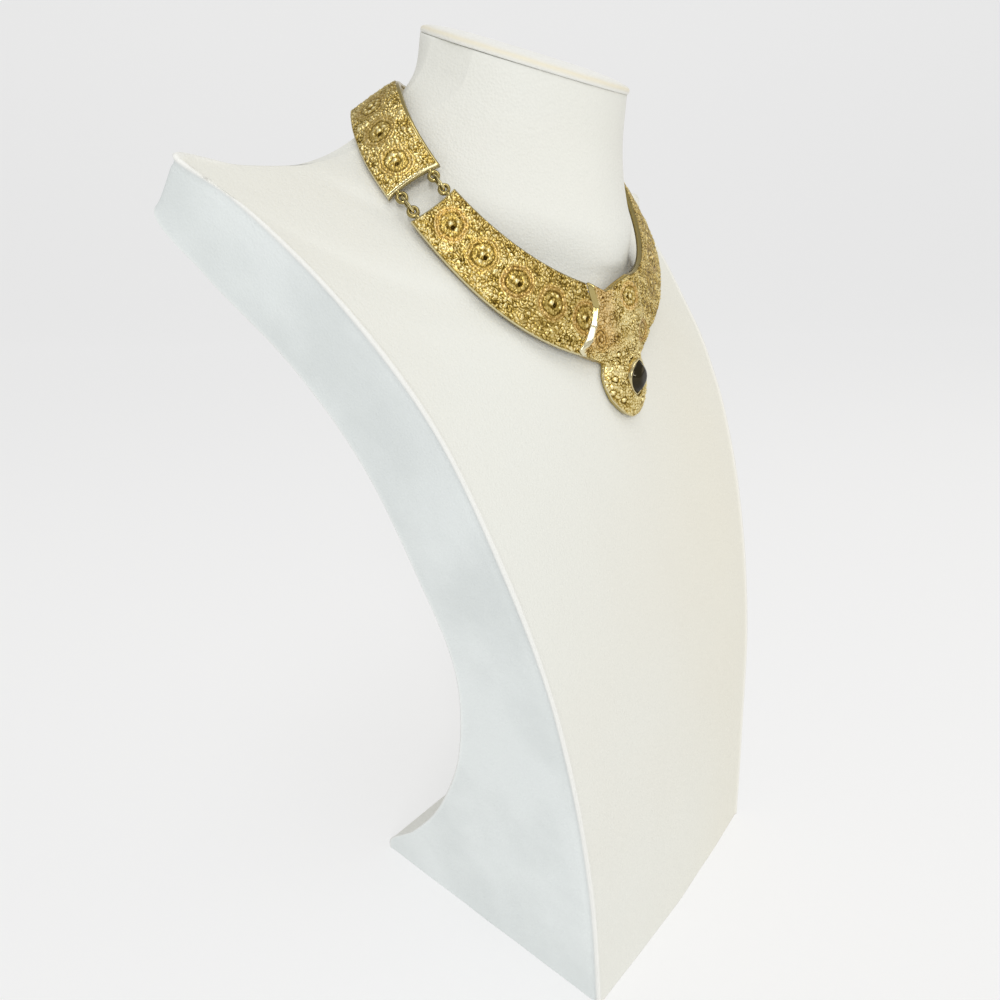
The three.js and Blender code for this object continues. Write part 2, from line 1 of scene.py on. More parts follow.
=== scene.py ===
"""Looks of a cast gilt bib necklace on a padded neck bust. In millimetres, until a mesh is made."""

import math
from types import SimpleNamespace as Sizes

import bmesh
import bpy
import numpy as np
from mathutils import Matrix, Vector


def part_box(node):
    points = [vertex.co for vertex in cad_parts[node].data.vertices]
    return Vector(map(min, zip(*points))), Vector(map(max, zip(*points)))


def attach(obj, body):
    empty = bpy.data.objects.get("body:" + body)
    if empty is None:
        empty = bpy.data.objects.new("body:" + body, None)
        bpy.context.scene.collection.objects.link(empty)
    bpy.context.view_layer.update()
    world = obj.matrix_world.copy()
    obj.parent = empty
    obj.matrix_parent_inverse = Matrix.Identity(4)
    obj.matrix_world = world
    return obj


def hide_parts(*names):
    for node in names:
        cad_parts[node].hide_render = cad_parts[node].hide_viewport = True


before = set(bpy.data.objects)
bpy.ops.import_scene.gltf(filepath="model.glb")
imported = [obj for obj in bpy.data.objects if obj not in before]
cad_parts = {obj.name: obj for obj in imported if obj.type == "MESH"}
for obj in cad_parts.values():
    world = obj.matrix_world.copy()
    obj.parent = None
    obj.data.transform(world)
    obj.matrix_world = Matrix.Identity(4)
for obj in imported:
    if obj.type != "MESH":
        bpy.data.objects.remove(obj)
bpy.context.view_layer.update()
MM = 0.001
TURN = 2 * math.pi
# The bust's tables count y from the front edge of its base.
FRONT_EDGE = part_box("neck_bust")[0].y / MM

# ---- sizes, as in the CAD source
BUST_ROWS = [  # front y, z | edge seam x, y, z | rear edge x, y, z | back y, z | neck share
    ((0, 0), (66.2, 2, 0), (58, 125.5, 0), (126, 0), 0),
    ((0.2, 4), (66.3, 2.2, 4), (58, 125.5, 4), (126, 4), 0),
    ((1, 25), (67.3, 3, 25), (62, 104, 24), (105, 24), 0),
    ((2.4, 53), (69.2, 4.5, 53), (65, 84, 49), (86, 49), 0),
    ((6.2, 97), (74.8, 8.1, 97), (72, 64, 90), (67, 90), 0),
    ((13.7, 140), (80.7, 15.4, 140), (78, 59, 131), (62, 131), 0),
    ((26, 184), (88.6, 28, 184), (86, 68, 170), (71, 170), 0),
    ((35.2, 221), (96.4, 47, 227), (94, 82, 208), (84, 208), 0),
    ((39.8, 245), (106.5, 73, 263), (105, 101, 242), (101, 238), 0),
    ((41.9, 255), (120.6, 98.9, 292), (119, 121, 270), (113, 262), 0),
    ((43.2, 260), (131, 108, 302.5), (130, 125.5, 289), (118, 280), 0),
    ((44.4, 265.5), (112, 109, 301.5), (112, 119.5, 296), (120.5, 292), 0),
    ((42.5, 271.5), (86.9, 109.5, 303.3), (87, 117, 302.5), (123, 302), 0.07),
    ((42.3, 278.5), (66.3, 109.9, 308.3), (67, 116.4, 309.2), (124.5, 313), 0.94),
    ((45.5, 290), (53.5, 97.3, 316.7), (52.5, 108.8, 320), (120.8, 326), 1),
    ((48.2, 309), (43.2, 79, 326.5), (42.4, 96.8, 334), (118.4, 340), 1),
    ((46.7, 327.9), (40.4, 74, 338), (40.4, 92, 344.8), (118.4, 354.8), 1),
]
CHEST_ROWS = 11  # of these, from the foot to the shoulder's tip
FALL_DEPTH, FALL_HEIGHT = 1.54, 2.8
NECK_ROUND = 0.966
CAP = Sizes(rx=41.8, ry=38.7)
COLLAR = Sizes(
    mid_y=83.7, xs=(64.5, 1.2, 1.7), ys=(46.3, 3.5),
    front_z=248.4, climb=0.961, climb_more=0.00118, level_z=320, level_rise=10,
    slope=(63, 16.4, 6.2),
)
NAPE = Sizes(start=95, full=140, flatter=26, pinch=0.06, reach=4)
ASKEW = Sizes(  # the right half hangs off its level: in the middle, at the side, and how it fades
    middle={"inward": 0, "back": 3.7, "lift": 5.2, "flatter": 0.7},
    side={"inward": 2.6, "back": 4.6, "lift": 18.4, "flatter": 15},
    grows=(0, 75), fades=(80, 110),
)
BAND = Sizes(thickness=1.8, crown=0.5)
HINGE_END, BACK_START, BACK_END = 93.5, 103.9, 188.5
FRONT_WIDTHS = Sizes(inner=25.8, outer=18.5, belly=1.5)
BACK_WIDTH = 20.6
END_HOLLOW = 0.9
ROSETTE_RADIUS = 6.1
ROSETTE_ROWS = {  # along the panels: the first one, the step, how many, how far below the middle
    "front": (28.1, 14.05, 5, 0),
    "back": (113.2, 13.66, 6, 1.2),
}
EYE = Sizes(ring=1.5, wire=0.7, reach=2.2, spread=6.4, lift=-0.5)
LINK = Sizes(half=3.05, rise=1.5, wire=0.5)
CLASP = Sizes(half=10, width=6, thickness=2, lap=0.6)
HUB = (0, 240)
CENTRE_OUTLINE = [  # x, z, round from the crest
    (0.8, 266.4), (-3.2, 264.8), (-7, 263), (-10, 261.8), (-13, 261.2), (-16.5, 262.4),
    (-20.5, 263.8), (-25, 264.4), (-24.5, 260.5), (-23.4, 256.3), (-25.3, 250.2), (-28.1, 246.3),
    (-31.2, 242.2), (-29.2, 240.2), (-25, 238.6), (-20.4, 237), (-15.6, 235.2), (-16.5, 231.2),
    (-16.2, 227.5), (-13.8, 222.2), (-10.6, 218.8), (-6.9, 216.2), (-1.8, 214.3), (3.2, 215.2),
    (7.4, 217.6), (10.4, 220.8), (12.2, 225), (12.4, 228.8), (11.2, 232.4), (9.4, 236.4),
    (12, 239.6), (15.2, 242.4), (17.5, 244.8), (16.5, 248.2), (12.3, 251.8), (9.3, 255),
    (7.8, 258), (6, 261), (2.6, 264.6),
]
CENTRE_THICKNESS = Sizes(shield=3.2, crest=1.7, thins=(248, 8))
CENTRE_RIDGE = [  # z, x, y of the highest line of the face
    (230, -1.2, 33.2), (238, -1.2, 33.4), (244, 0, 34), (250, 3, 34.8), (258.5, 6, 35.6),
    (267, 2, 37.4),
]
VALLEY = Sizes(depth=2.3, reach=13, fall=0.07)
LIP = [  # z, x of the foot of the wall at the left
    (240.2, -30), (242.2, -31.2), (246.3, -28.1), (250.2, -25.3), (256.3, -23.4), (260.5, -24.5),
    (264.4, -25),
]
LIP_FACE = Sizes(height=3.3, width=3.6, grows=(240, 6))
DROP = Sizes(x=-2, z=228.9, rx=13.8, rz=14.8, dome=5.1, fullness=0.8, rim=0.8, off_chest=0.5)
DROP_TO_SHIELD = (233, 6)  # z where the drop ends, and over what height
CENTRE_ROSETTES = [(0.3, 258.8, 5.2), (-18.4, 244.7, 4.6), (10, 245.6, 4.8)]  # x, z, radius
STUDS = [(-9, 238.3), (6.2, 237.4), (-12.8, 229.9), (9.3, 229.9),
         (-13.9, 225), (9.9, 224.6), (-9.8, 222), (1.8, 220.6)]
STONE = Sizes(x=-2, z=229.7, half_width=4.6, half_height=6.1, crown=2.7, seat=0.5)
MARQUISE_POINT = 0.5
BEZEL = Sizes(wall=0.8, height=0.8, foot=1.5)
GAP = 0.35

# ---- sizes of what the CAD leaves out
PANEL_GAP = 0.35  # between a front panel and the centre piece, as they are seen
BEVEL = Sizes(run=1.3, drop=1.9)  # along the outer side of the wall
PEBBLE = Sizes(
    cells=128, start=40, jitter=(0.08, 0.92), heights=(0.5, 1), groove=0.5, groove_power=0.7, dome=0.45
)
CRINKLE = Sizes(bend=0.42, waves=(2.6, 2.9), large=0.62, small=0.38, small_pitch=0.55)
FLOWER = Sizes(  # places and widths are shares of its radius, heights are in millimetres
    edge=(0.96, 0.1), lumps=((0.05, 2), (0.025, 5)), breaks=(0.25, 5, 11),
    plate=0.32, outer_ridge=(0.24, 0.93, 0.055), inner_ridge=(0.14, 0.76, 0.06), plate_rough=(0.46, 1.1),
    heart_edge=(0.6, 0.08), heart=0.16, heart_rough=(0.46, 0.9), moat=(0.12, 0.26, 0.06),
    petals=9, petal_reach=0.42, petal_size=0.14, rim=(0.14, 0.62, 0.035),
    boss=(0.78, 0.05, 0.16), pit=(0.9, 0.17, 0.05, 0.09), copper=(0.82, 0.16), coppery=(0.1, 0.6),
)
PANEL_MESH = Sizes(cell=0.22, width=24, behind=4)  # the back's cells are 4 times as long
PANEL_FACE = Sizes(
    pitch=1.22, relief=0.9, swell=(0.1, 9), top=0.9, fade=0.35, round=(0.35, 0.45),
    # the plain strips' tones: the upper edge, facing the neck, darker as painted shade; the lower edge
    # paler as a painted reflection of the bright chest
    upper_tone=0.32, lower_tone=0.72, tip_tone=0.6, tip_fade=0.3,
)
PANEL_LOOKS = {  # how wide the plain rims and end are, and the heights that get the darkest and brightest tone: painted shade in the hollows, painted highlights on the crests
    "front": Sizes(lower=0.2, upper=0.3, tip=0.3, dark=0.13, span=0.5),
    "back": Sizes(lower=0.2, upper=0.7, tip=0.9, dark=0.07, span=0.54),
}
PLAIN_BACK = [0.4, 0, 0.6]  # shade of faces that lie behind: tone, copper, polish
PANEL_EYES = {  # s, w, towards
    "front": [(HINGE_END, -EYE.spread, 1), (HINGE_END, EYE.spread, 1)],
    "back": [(BACK_START, -EYE.spread, -1), (BACK_START, EYE.spread, -1), (BACK_END, 0, 1)],
}
CENTRE_MESH = Sizes(columns=620, rings=104, inmost=(0.002, 0.02), wall=7, back=(0.8, 0.5, 0.2, 0.01))
CENTRE_FACE = Sizes(pitch=1.15, relief=0.85, swell=(0.1, 8), wall_pitch=1.3)
STUD = Sizes(radius=0.95, foot=1, low=0.05, groove=(0.35, 1.15, 0.2), pit=(0.7, 0.35, -0.2, 0.3))
POCKET = Sizes(round=0.25, deep=0.45, under=0.15)  # below the stone, inside the bezel
STONE_DOME = Sizes(flank=0.78, shoulder=1.45, fullness=4.1, rings=20, top=0.03)
BUST_MESH = Sizes(
    rows=260, front=(0.93, 0.05, 38), strip=(0.09, 0.93, 18), back=41,
    by_seam=(0.004, 0.009, 0.014, 0.02, 0.028, 0.038, 0.05), strip_spread=1.2,
)
SOFTENED = Sizes(  # how the front cover is smoothed: how strongly, at which share of the rows, how wide
    passes=110, shoulder=(1, 0.635, 0.055), neck=(1, 0.785, 0.035), neck_to_x=(46, 12), by_seam=0.08
)
WELT = Sizes(  # along the seams: how high, or how pale as a painted highlight, how far from the seam, how wide
    bead=(0.7, 0.1, 1.1), groove=(0.4, 2.6, 0.9), rear=(0.3, 0, 1.1),
    pale=(0.75, 0.1, 1.2), pale_rear=(0.4, 0, 0.8), palest=0.9, up_to=(0.66, 0.04),
)
DENTS = Sizes(depth=0.5, upright=0.7, size=30, seed=8, from_seam=6)
SWELL = Sizes(depth=0.12, size=46, seed=3)
STRIP_EDGE = 0.6
WARM_LIT_SIDE = (0.25, 60, 60)  # painted warm light on the bust's right side: how warm, and where in x
CAP_SECTION = [  # share of the radius, then how far in from there, height
    (0.7, 0, 0), (1, 0.5, 0), (1, 0.15, 0.15), (1, 0, 0.6), (1, 0, 1.3), (1, 0.35, 1.85),
    (1, 1, 2.25), (1, 2.2, 2.7), (0.88, 0, 3.25), (0.78, 0, 3.75), (0.62, 0, 4.15),
    (0.42, 0, 4.32), (0.22, 0, 4.37), (0, -0.5, 4.4),
]
CAP_FACE = Sizes(
    sides=120, seat=0.05, pucker=(0.06, 1.9, 0.8), puckers=17, warm=(1, 1.7, 1), palest=0.8, warmest=0.7
)
EYE_TAB = Sizes(start=0.15, to=1.9, half=(0.72, 1.1), thick=0.62, rings=6, sides=16)
CLASP_FACE = Sizes(rings=33, sides=28, taper=10, least=0.3, square=(0.6, 0.8))
END_SEARCH = Sizes(to=60, step=0.1)  # along the collar, for a front panel's end
BEZEL_SECTION = [  # out from the stone's edge, back from the rim
    (0.3 * GAP, 1.4), (0.3 * GAP, 0), (0.5 * GAP, -0.2), (0.45, -0.3), (0.75, -0.15), (0.9, 0.15),
    (0.92, BEZEL.height + BEZEL.foot),
]
SEEDS = Sizes(pebbles=31, swell=5, rosettes=50, wall=4)
LOOKS = Sizes(  # the centre piece's tones, and where they change; they paint light: shade in the hollows, highlights on the crests, the wall lit below and shaded above
    rim=(0.15, 0.35), wall_width=1.5, wall_from=(238.5, 1.5), wall_foot=(0.1, 0.4),
    drop_to=(236, 3), wall_tone=(0.45, 0.33), lit_to=(252.5, 3), rim_tone=(0.4, 0.3),
    dark=(0.13, -0.05), span=(0.31, 0.07), pits=0.9, side_tone=(0.15, 0.75),
    drop_side_tone=0.5, copper=0.5, copper_to_x=(-4, 10), copper_from_z=(238, 6),
)
BRIGHT_METAL, EYE_METAL = [0.6, 0, 1], [0.3, 0, 1]
OUTLINE_CURVE = Sizes(steps=60, ease=0.3, corners=160)


# ---- small helpers
def lerp(a, b, t):
    return a + (b - a) * t


def rising(start, gain, t):
    return start + gain * t


def smooth(t):
    t = np.clip(t, 0, 1)
    return t * t * (3 - 2 * t)


def rises(x, start, length):
    """From 0 at start to 1 a length on."""
    return smooth((x - start) / length)


def falls(x, end, length):
    """From 1 a length before the end to 0 at the end."""
    return smooth((end - x) / length)


def bell(x, width):
    return np.exp(-((x / width) ** 2))


def ridge(x, height, at, width):
    return height * bell(x - at, width)


def dome(x):
    """Half a circle's height over -1..1."""
    return np.sqrt(np.clip(1 - x ** 2, 0, 1))


def around(count, first=0):
    """Angles in even steps round a circle."""
    return (np.arange(count) + first) / count * TURN


def stacked(*parts):
    return np.stack(parts, -1)


def unit(v):
    return v / np.linalg.norm(v, axis=-1, keepdims=True)


def run_along(line):
    """Length along a line of points, at each of them."""
    return np.r_[0, np.cumsum(np.linalg.norm(np.diff(line, axis=0), axis=1))]


def add_object(name, data):
    obj = bpy.data.objects.new(name, data)
    bpy.context.scene.collection.objects.link(obj)
    return obj


def make_piece(name, points, faces, material, stands_for=(), shades=None):
    """A mesh piece from points in millimetres, riding on the one body. shades adds colour columns."""
    mesh = bpy.data.meshes.new(name)
    placed = (np.asarray(points, float) + [0, FRONT_EDGE, 0]) * MM
    mesh.from_pydata(placed.tolist(), [], faces)
    if shades is not None:
        layer = mesh.attributes.new("shade", "FLOAT_COLOR", "POINT")
        layer.data.foreach_set("color", np.column_stack([shades, np.ones(len(shades))]).ravel())
    bm = bmesh.new()
    bm.from_mesh(mesh)
    bmesh.ops.recalc_face_normals(bm, faces=bm.faces)
    bm.to_mesh(mesh)
    bm.free()
    mesh.shade_smooth()
    obj = add_object(name, mesh)
    mesh.materials.append(material)
    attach(obj, "root")
    if stands_for:
        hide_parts(*stands_for)
    return obj


def grid_faces(rows, columns, wrap_rows=False, wrap_columns=False, first=0):
    """Faces of a grid of points, row by row."""
    row, column = np.arange(rows - (not wrap_rows)), np.arange(columns - (not wrap_columns))
    i, j = np.meshgrid(row, column, indexing="ij")
    near, far = i * columns, (i + 1) % rows * columns
    nxt = (j + 1) % columns
    quads = stacked(near + j, near + nxt, far + nxt, far + j).reshape(-1, 4) + first
    return quads.tolist()


def loft(rings, closed_ends=True, is_loop=False):
    """Points and faces through rings of as many points each, (rows, columns, 3)."""
    rings = np.asarray(rings, float)
    rows, columns = rings.shape[:2]
    points = rings.reshape(-1, 3)
    faces = grid_faces(rows, columns, is_loop, True)
    if closed_ends and not is_loop:
        faces.append(list(range(columns))[::-1])
        faces.append([(rows - 1) * columns + j for j in range(columns)])
    return points, faces


def plate(top, rear, every):
    """A grid and a coarser one behind it, joined along their four borders."""
    rows, columns = top.shape[:2]
    rear_rows, rear_columns = rear.shape[:2]
    first = rows * columns
    faces = grid_faces(rows, columns) + grid_faces(rear_rows, rear_columns, first=first)
    for i in range(rear_rows - 1):
        for j, k in ((0, 0), (columns - 1, rear_columns - 1)):
            border = [(every * i + q) * columns + j for q in range(every + 1)]
            faces.append(border + [first + (i + 1) * rear_columns + k, first + i * rear_columns + k])
    for j in range(rear_columns - 1):
        for i, k in ((0, 0), (rows - 1, rear_rows - 1)):
            border = [i * columns + every * j + q for q in range(every + 1)]
            faces.append(border + [first + k * rear_columns + j + 1, first + k * rear_columns + j])
    return np.concatenate([top.reshape(-1, 3), rear.reshape(-1, 3)]), faces


def together(parts):
    """Several (points, faces) as one."""
    points, faces, first = [], [], 0
    for p, f in parts:
        points.append(np.asarray(p, float))
        faces += [[index + first for index in face] for face in f]
        first += len(p)
    return np.concatenate(points), faces


# ---- noise for surfaces
def wavy(x, y, size, seed):
    """Smooth noise about -1..1 with features of that size."""
    r = np.random.default_rng(seed)
    total = np.zeros(np.broadcast(x, y).shape)
    for _ in range(7):
        angle, phase, k = r.uniform(0, TURN), r.uniform(0, TURN), r.uniform(0.6, 1.7)
        total += np.sin((x * math.cos(angle) + y * math.sin(angle)) * k * TURN / size + phase)
    return total / 4


def nuggets(x, y, pitch, seed):
    """Cast granulation, 0..1: packed pebbles of different heights, with narrow grooves between them."""
    r = np.random.default_rng(seed)
    n = PEBBLE.cells
    jitter = r.uniform(*PEBBLE.jitter, (n, n, 2))
    height = r.uniform(*PEBBLE.heights, (n, n))
    u, v = x / pitch + PEBBLE.start, y / pitch + PEBBLE.start
    ci, cj = np.floor(u).astype(int), np.floor(v).astype(int)
    nearest = second = np.full(u.shape, np.inf)
    tall = np.zeros(u.shape)
    for di in (-1, 0, 1):
        for dj in (-1, 0, 1):
            a, b = (ci + di) % n, (cj + dj) % n
            far = np.hypot(u - (ci + di + jitter[a, b, 0]), v - (cj + dj + jitter[a, b, 1]))
            closer = far < nearest
            second = np.where(closer, nearest, np.minimum(second, far))
            tall = np.where(closer, height[a, b], tall)
            nearest = np.where(closer, far, nearest)
    groove = np.clip((second - nearest) / PEBBLE.groove, 0, 1) ** PEBBLE.groove_power
    return tall * groove * (1 - PEBBLE.dome * np.clip(nearest, 0, 1) ** 2)


def crinkled(x, y, pitch, seed):
    """Rough cast ground, 0..1: large and small pebbles crowded together, none of them round."""
    bend = CRINKLE.bend * pitch
    bent_x = x + bend * wavy(x, y, CRINKLE.waves[0] * pitch, seed + 2)
    bent_y = y + bend * wavy(x, y, CRINKLE.waves[1] * pitch, seed + 3)
    large = nuggets(bent_x, bent_y, pitch, seed)
    small = nuggets(bent_y, bent_x, CRINKLE.small_pitch * pitch, seed + 1)
    return CRINKLE.large * large + CRINKLE.small * small


def flower(x, y, radius, seed):
    """A cast rosette about the origin: (height in mm, where it covers the ground, coppery share)."""
    r = np.random.default_rng(seed)
    far, turn = np.hypot(x, y) / radius, np.arctan2(y, x) + r.uniform(0, 6)
    phases = r.uniform(0, 6, 4)
    lumps = sum(size * np.sin(n * turn + phase) for (size, n), phase in zip(FLOWER.lumps, phases))
    far = far * (1 + lumps)
    covers = 1 - rises(far, *FLOWER.edge)

    # the plate round the heart: a broken ridge at its edge, a weaker one further in
    depth, few, many = FLOWER.breaks
    broken = 1 - depth + depth * np.sin(few * turn + phases[2]) * np.sin(many * turn + phases[3])
    plain = FLOWER.plate + broken * ridge(far, *FLOWER.outer_ridge) + ridge(far, *FLOWER.inner_ridge)
    rough, pitch = FLOWER.plate_rough
    plain = plain + rough * (crinkled(x, y, pitch, seed + 1) - 0.5)

    # the heart: petals of different sizes round a boss with a pit beside it
    inside = 1 - rises(far, *FLOWER.heart_edge)
    rough, pitch = FLOWER.heart_rough
    heart = FLOWER.heart + rough * crinkled(x, y, pitch, seed + 5)
    for k in range(FLOWER.petals):
        angle = (k + r.uniform(-0.25, 0.25)) * TURN / FLOWER.petals
        reach, wide = FLOWER.petal_reach * r.uniform(0.75, 1.25), FLOWER.petal_size * r.uniform(0.6, 1.2)
        aside = far * np.cos(turn) - reach * math.cos(angle)
        gone = np.hypot(aside, far * np.sin(turn) - reach * math.sin(angle))
        heart = np.maximum(heart, r.uniform(0.4, 0.72) * dome(gone / wide))
    heart = heart - ridge(far, *FLOWER.moat)
    boss, boss_x, boss_size = FLOWER.boss
    heart = np.maximum(heart, boss * dome(np.hypot(x - boss_x * radius, y) / (boss_size * radius)))
    pit, pit_x, pit_y, pit_size = FLOWER.pit
    pit = pit * bell(np.hypot(x + pit_x * radius, y + pit_y * radius), pit_size * radius)
    height = lerp(plain, heart - pit, inside) - ridge(far, *FLOWER.rim)
    copper = ridge(far, r.uniform(*FLOWER.coppery), *FLOWER.copper)
    return height * radius / ROSETTE_RADIUS, covers, copper


# ---- materials
GILT_PAINTED_LIGHT_TONES = [  # by tone, which follows height: hollows darkened, part patina and part painted shade; flanks; crests painted bright as highlights
    (0, (0.04, 0.022, 0.002)), (0.28, (0.22, 0.14, 0.02)), (0.55, (0.64, 0.47, 0.13)),
    (1, (1, 0.87, 0.46)),
]
# the copper and polished ramps run the same way: their dark end is painted shade, their bright end a
# painted highlight
COPPER_TONES = [(0, (0.12, 0.05, 0.008)), (0.4, (0.5, 0.28, 0.075)), (1, (0.95, 0.64, 0.3))]
POLISHED_TONES = [(0, (0.12, 0.085, 0.02)), (0.5, (0.52, 0.42, 0.17)), (1, (1, 0.96, 0.76))]
PATINA = (0.5, 0.33, 0.08, 1)
WIRE_TONES = [(0.36, (0.13, 0.1, 0.03)), (0.6, (0.66, 0.57, 0.3))]
CREAM_TONES = [(0.3, (0.82, 0.815, 0.75)), (0.7, (0.83, 0.84, 0.79))]
STRIP_TONES = [(0.35, (0.74, 0.78, 0.77)), (0.6, (0.82, 0.86, 0.85))]
WARM_CREAM = (0.84, 0.76, 0.56, 1)
# painted highlight colour, for the welts and the cap
WELT_HIGHLIGHT_CREAM = (0.93, 0.93, 0.9, 1)
STONE_TONES = [(0.35, (0.004, 0.003, 0.001)), (0.75, (0.018, 0.013, 0.002))]
STONE_TINT = (1, 0.9, 0.66, 1)


class Look:
    """A material under construction, in the object's own coordinates."""

    def __init__(self, name):
        self.material = bpy.data.materials.new(name)
        self.material.use_nodes = True
        tree = self.material.node_tree
        tree.nodes.clear()
        self.new, self.link = tree.nodes.new, tree.links.new
        self.place = None
        self.shader = self.new("ShaderNodeBsdfPrincipled")
        self.link(self.shader.outputs[0], self.new("ShaderNodeOutputMaterial").inputs[0])

    def fill(self, node, **values):
        """Sets a node's inputs, to a constant or to another node's output."""
        for name, value in values.items():
            self.feed(node.inputs[name.replace("_", " ")], value)

    def set(self, **values):
        self.fill(self.shader, **values)

    def feed(self, socket, value):
        if hasattr(value, "is_output"):
            self.link(value, socket)
        else:
            socket.default_value = value

    def ramp(self, value, stops):
        node = self.new("ShaderNodeValToRGB")
        band = node.color_ramp
        while len(band.elements) < len(stops):
            band.elements.new(0.5)
        for element, (at, colour) in zip(band.elements, stops):
            element.position, element.color = at, (*colour, 1)
        self.link(value, node.inputs[0])
        return node.outputs[0]

    def mixed(self, share, a, b):
        node = self.new("ShaderNodeMix")
        node.data_type = "RGBA"
        for socket, value in ((0, share), (6, a), (7, b)):
            self.feed(node.inputs[socket], value)
        return node.outputs[2]

    def ranged(self, value, low, high, to_low, to_high):
        node = self.new("ShaderNodeMapRange")
        for socket, v in zip(node.inputs, (value, low, high, to_low, to_high)):
            self.feed(socket, v)
        return node.outputs[0]

    def cells(self, kind, **values):
        """A noise or Voronoi texture."""
        self.place = self.place or self.new("ShaderNodeTexCoord").outputs["Object"]
        node = self.new(kind)
        self.fill(node, Vector=self.place, **values)
        return node.outputs[0]

    def noise(self, scale, detail):
        return self.cells("ShaderNodeTexNoise", Scale=scale, Detail=detail)

    def added(self, a, b):
        node = self.new("ShaderNodeMath")
        node.operation = "ADD"
        self.link(a, node.inputs[0])
        self.link(b, node.inputs[1])
        return node.outputs[0]

    def shades(self):
        """The three columns of a mesh's shade attribute."""
        shade, parts = self.new("ShaderNodeAttribute"), self.new("ShaderNodeSeparateColor")
        shade.attribute_name = "shade"
        self.link(shade.outputs["Color"], parts.inputs[0])
        return parts.outputs

    def bump(self, height, strength, distance):
        node = self.new("ShaderNodeBump")
        self.fill(node, Strength=strength, Distance=distance, Height=height)
        self.set(Normal=node.outputs[0])


def gilt_material():
    """Gold plate: hollows darkened, part patina and part painted shade, coppery on the rosettes' plates,
    crests painted bright as highlights.
    """
    look = Look("gold_patina_and_painted_light")
    # height is the first shade column, a tone: low values paint shade, high values paint highlights
    height, copper, polish = look.shades()
    patch = look.ranged(look.noise(160, 3), 0.35, 0.7, 0, 0.3)
    tone = look.mixed(patch, look.ramp(height, GILT_PAINTED_LIGHT_TONES), PATINA)
    tone = look.mixed(copper, tone, look.ramp(height, COPPER_TONES))
    tone = look.mixed(polish, tone, look.ramp(height, POLISHED_TONES))
    grain = look.noise(900, 3)
    by_polish = look.ranged(polish, 0, 1, 0.34, 0.16)
    by_grain = look.ranged(grain, 0.3, 0.7, -0.05, 0.07)
    look.set(Base_Color=tone, Metallic=1, Roughness=look.added(by_polish, by_grain))
    look.bump(grain, 0.25, 0.00015)
    return look.material


def wire_material():
    """Smooth plated wire and plain metal."""
    look = Look("polished_gold")
    tone = look.ramp(look.noise(420, 4), WIRE_TONES)
    look.set(Base_Color=tone, Metallic=1, Roughness=look.ranged(look.noise(700, 3), 0.3, 0.7, 0.16, 0.3))
    return look.material


def cover_material():
    """Cream leatherette with a fine grain: cooler on the strips, painted highlights on the welts and the
    cap, warm in places, on the bust's right side as painted warm light.
    """
    look = Look("cream_cover")
    strip, welt, warm = look.shades()
    cream = look.ramp(look.noise(9, 3), CREAM_TONES)
    tone = look.mixed(strip, cream, look.ramp(look.noise(26, 5), STRIP_TONES))
    # the welt column paints highlights on the welts and the cap; the warm column tints the cap's rim band
    # and paints warm light on the bust's right side
    tone = look.mixed(welt, look.mixed(warm, tone, WARM_CREAM), WELT_HIGHLIGHT_CREAM)
    grain = look.added(look.cells("ShaderNodeTexVoronoi", Scale=1100), look.noise(420, 5))
    sheen = look.ranged(look.noise(300, 2), 0.3, 0.7, 0.5, 0.62)
    look.set(Base_Color=tone, Roughness=sheen, Specular_IOR_Level=0.35)
    look.bump(grain, 0.4, 0.0003)
    return look.material


def stone_material():
    """Near-black brown stone with a high gloss."""
    look = Look("dark_stone")
    look.set(Base_Color=look.ramp(look.noise(90, 4), STONE_TONES),
             Roughness=0.05, IOR=1.42, Specular_Tint=STONE_TINT)
    return look.material


gilt = gilt_material()
wire_gold = wire_material()
cover = cover_material()
stone_look = stone_material()


# ---- bust
def through(points, t):
    """Centripetal Catmull-Rom curve through points, at t in 0..1, as three.js draws it."""
    points = np.asarray(points, float)
    last = len(points) - 1
    t = np.asarray(t, float) * last
    k = np.minimum(np.floor(t).astype(int), last - 1)
    w = (t - k)[:, None]
    padded = np.vstack([2 * points[0] - points[1], points, 2 * points[-1] - points[-2]])
    a, b, c, d = (padded[k + i] for i in range(4))
    ab, bc, cd = (
        np.maximum(np.sqrt(np.linalg.norm(q - p, axis=1)), 1e-4)[:, None]
        for p, q in ((a, b), (b, c), (c, d))
    )
    before = ((b - a) / ab - (c - a) / (ab + bc) + (c - b) / bc) * bc
    after = ((c - b) / bc - (d - b) / (bc + cd) + (d - c) / cd) * bc
    squared = 3 * (c - b) - 2 * before - after
    cubed = 2 * (b - c) + before + after
    return b + before * w + squared * w ** 2 + cubed * w ** 3


def fall(share, power, neck):
    oval = (1 - np.sqrt(1 - (NECK_ROUND * share) ** 2)) / (1 - math.sqrt(1 - NECK_ROUND ** 2))
    return lerp(share ** power, oval, neck)


def bust_grid(v, across, strip, behind):
    """Rings round the bust: front cover, right strip, back, left strip, (rows, columns, 3)."""
    front, edge, rear, back = (  # those in the middle have no x of their own
        through([(0, *row[k])[-3:] for row in BUST_ROWS], v)[:, None] for k in range(4)
    )
    count = len(BUST_ROWS)
    neck = np.interp(v * (count - 1), range(count), [row[4] for row in BUST_ROWS])[:, None]
    widest = math.asin(NECK_ROUND)

    def arc(middle, side, steps):
        reach = lerp(steps[None], np.sin(widest * steps[None]) / NECK_ROUND, neck)
        share = np.abs(reach)
        y = lerp(middle[..., 1], side[..., 1], fall(share, FALL_DEPTH, neck))
        z = lerp(middle[..., 2], side[..., 2], fall(share, FALL_HEIGHT, neck))
        return stacked(reach * side[..., 0], y, z)

    right = lerp(edge, rear, strip[None, :, None])
    left = right[:, ::-1] * [-1, 1, 1]
    return np.concatenate([arc(front, edge, across), right, arc(back, rear, behind)[:, ::-1], left], 1)


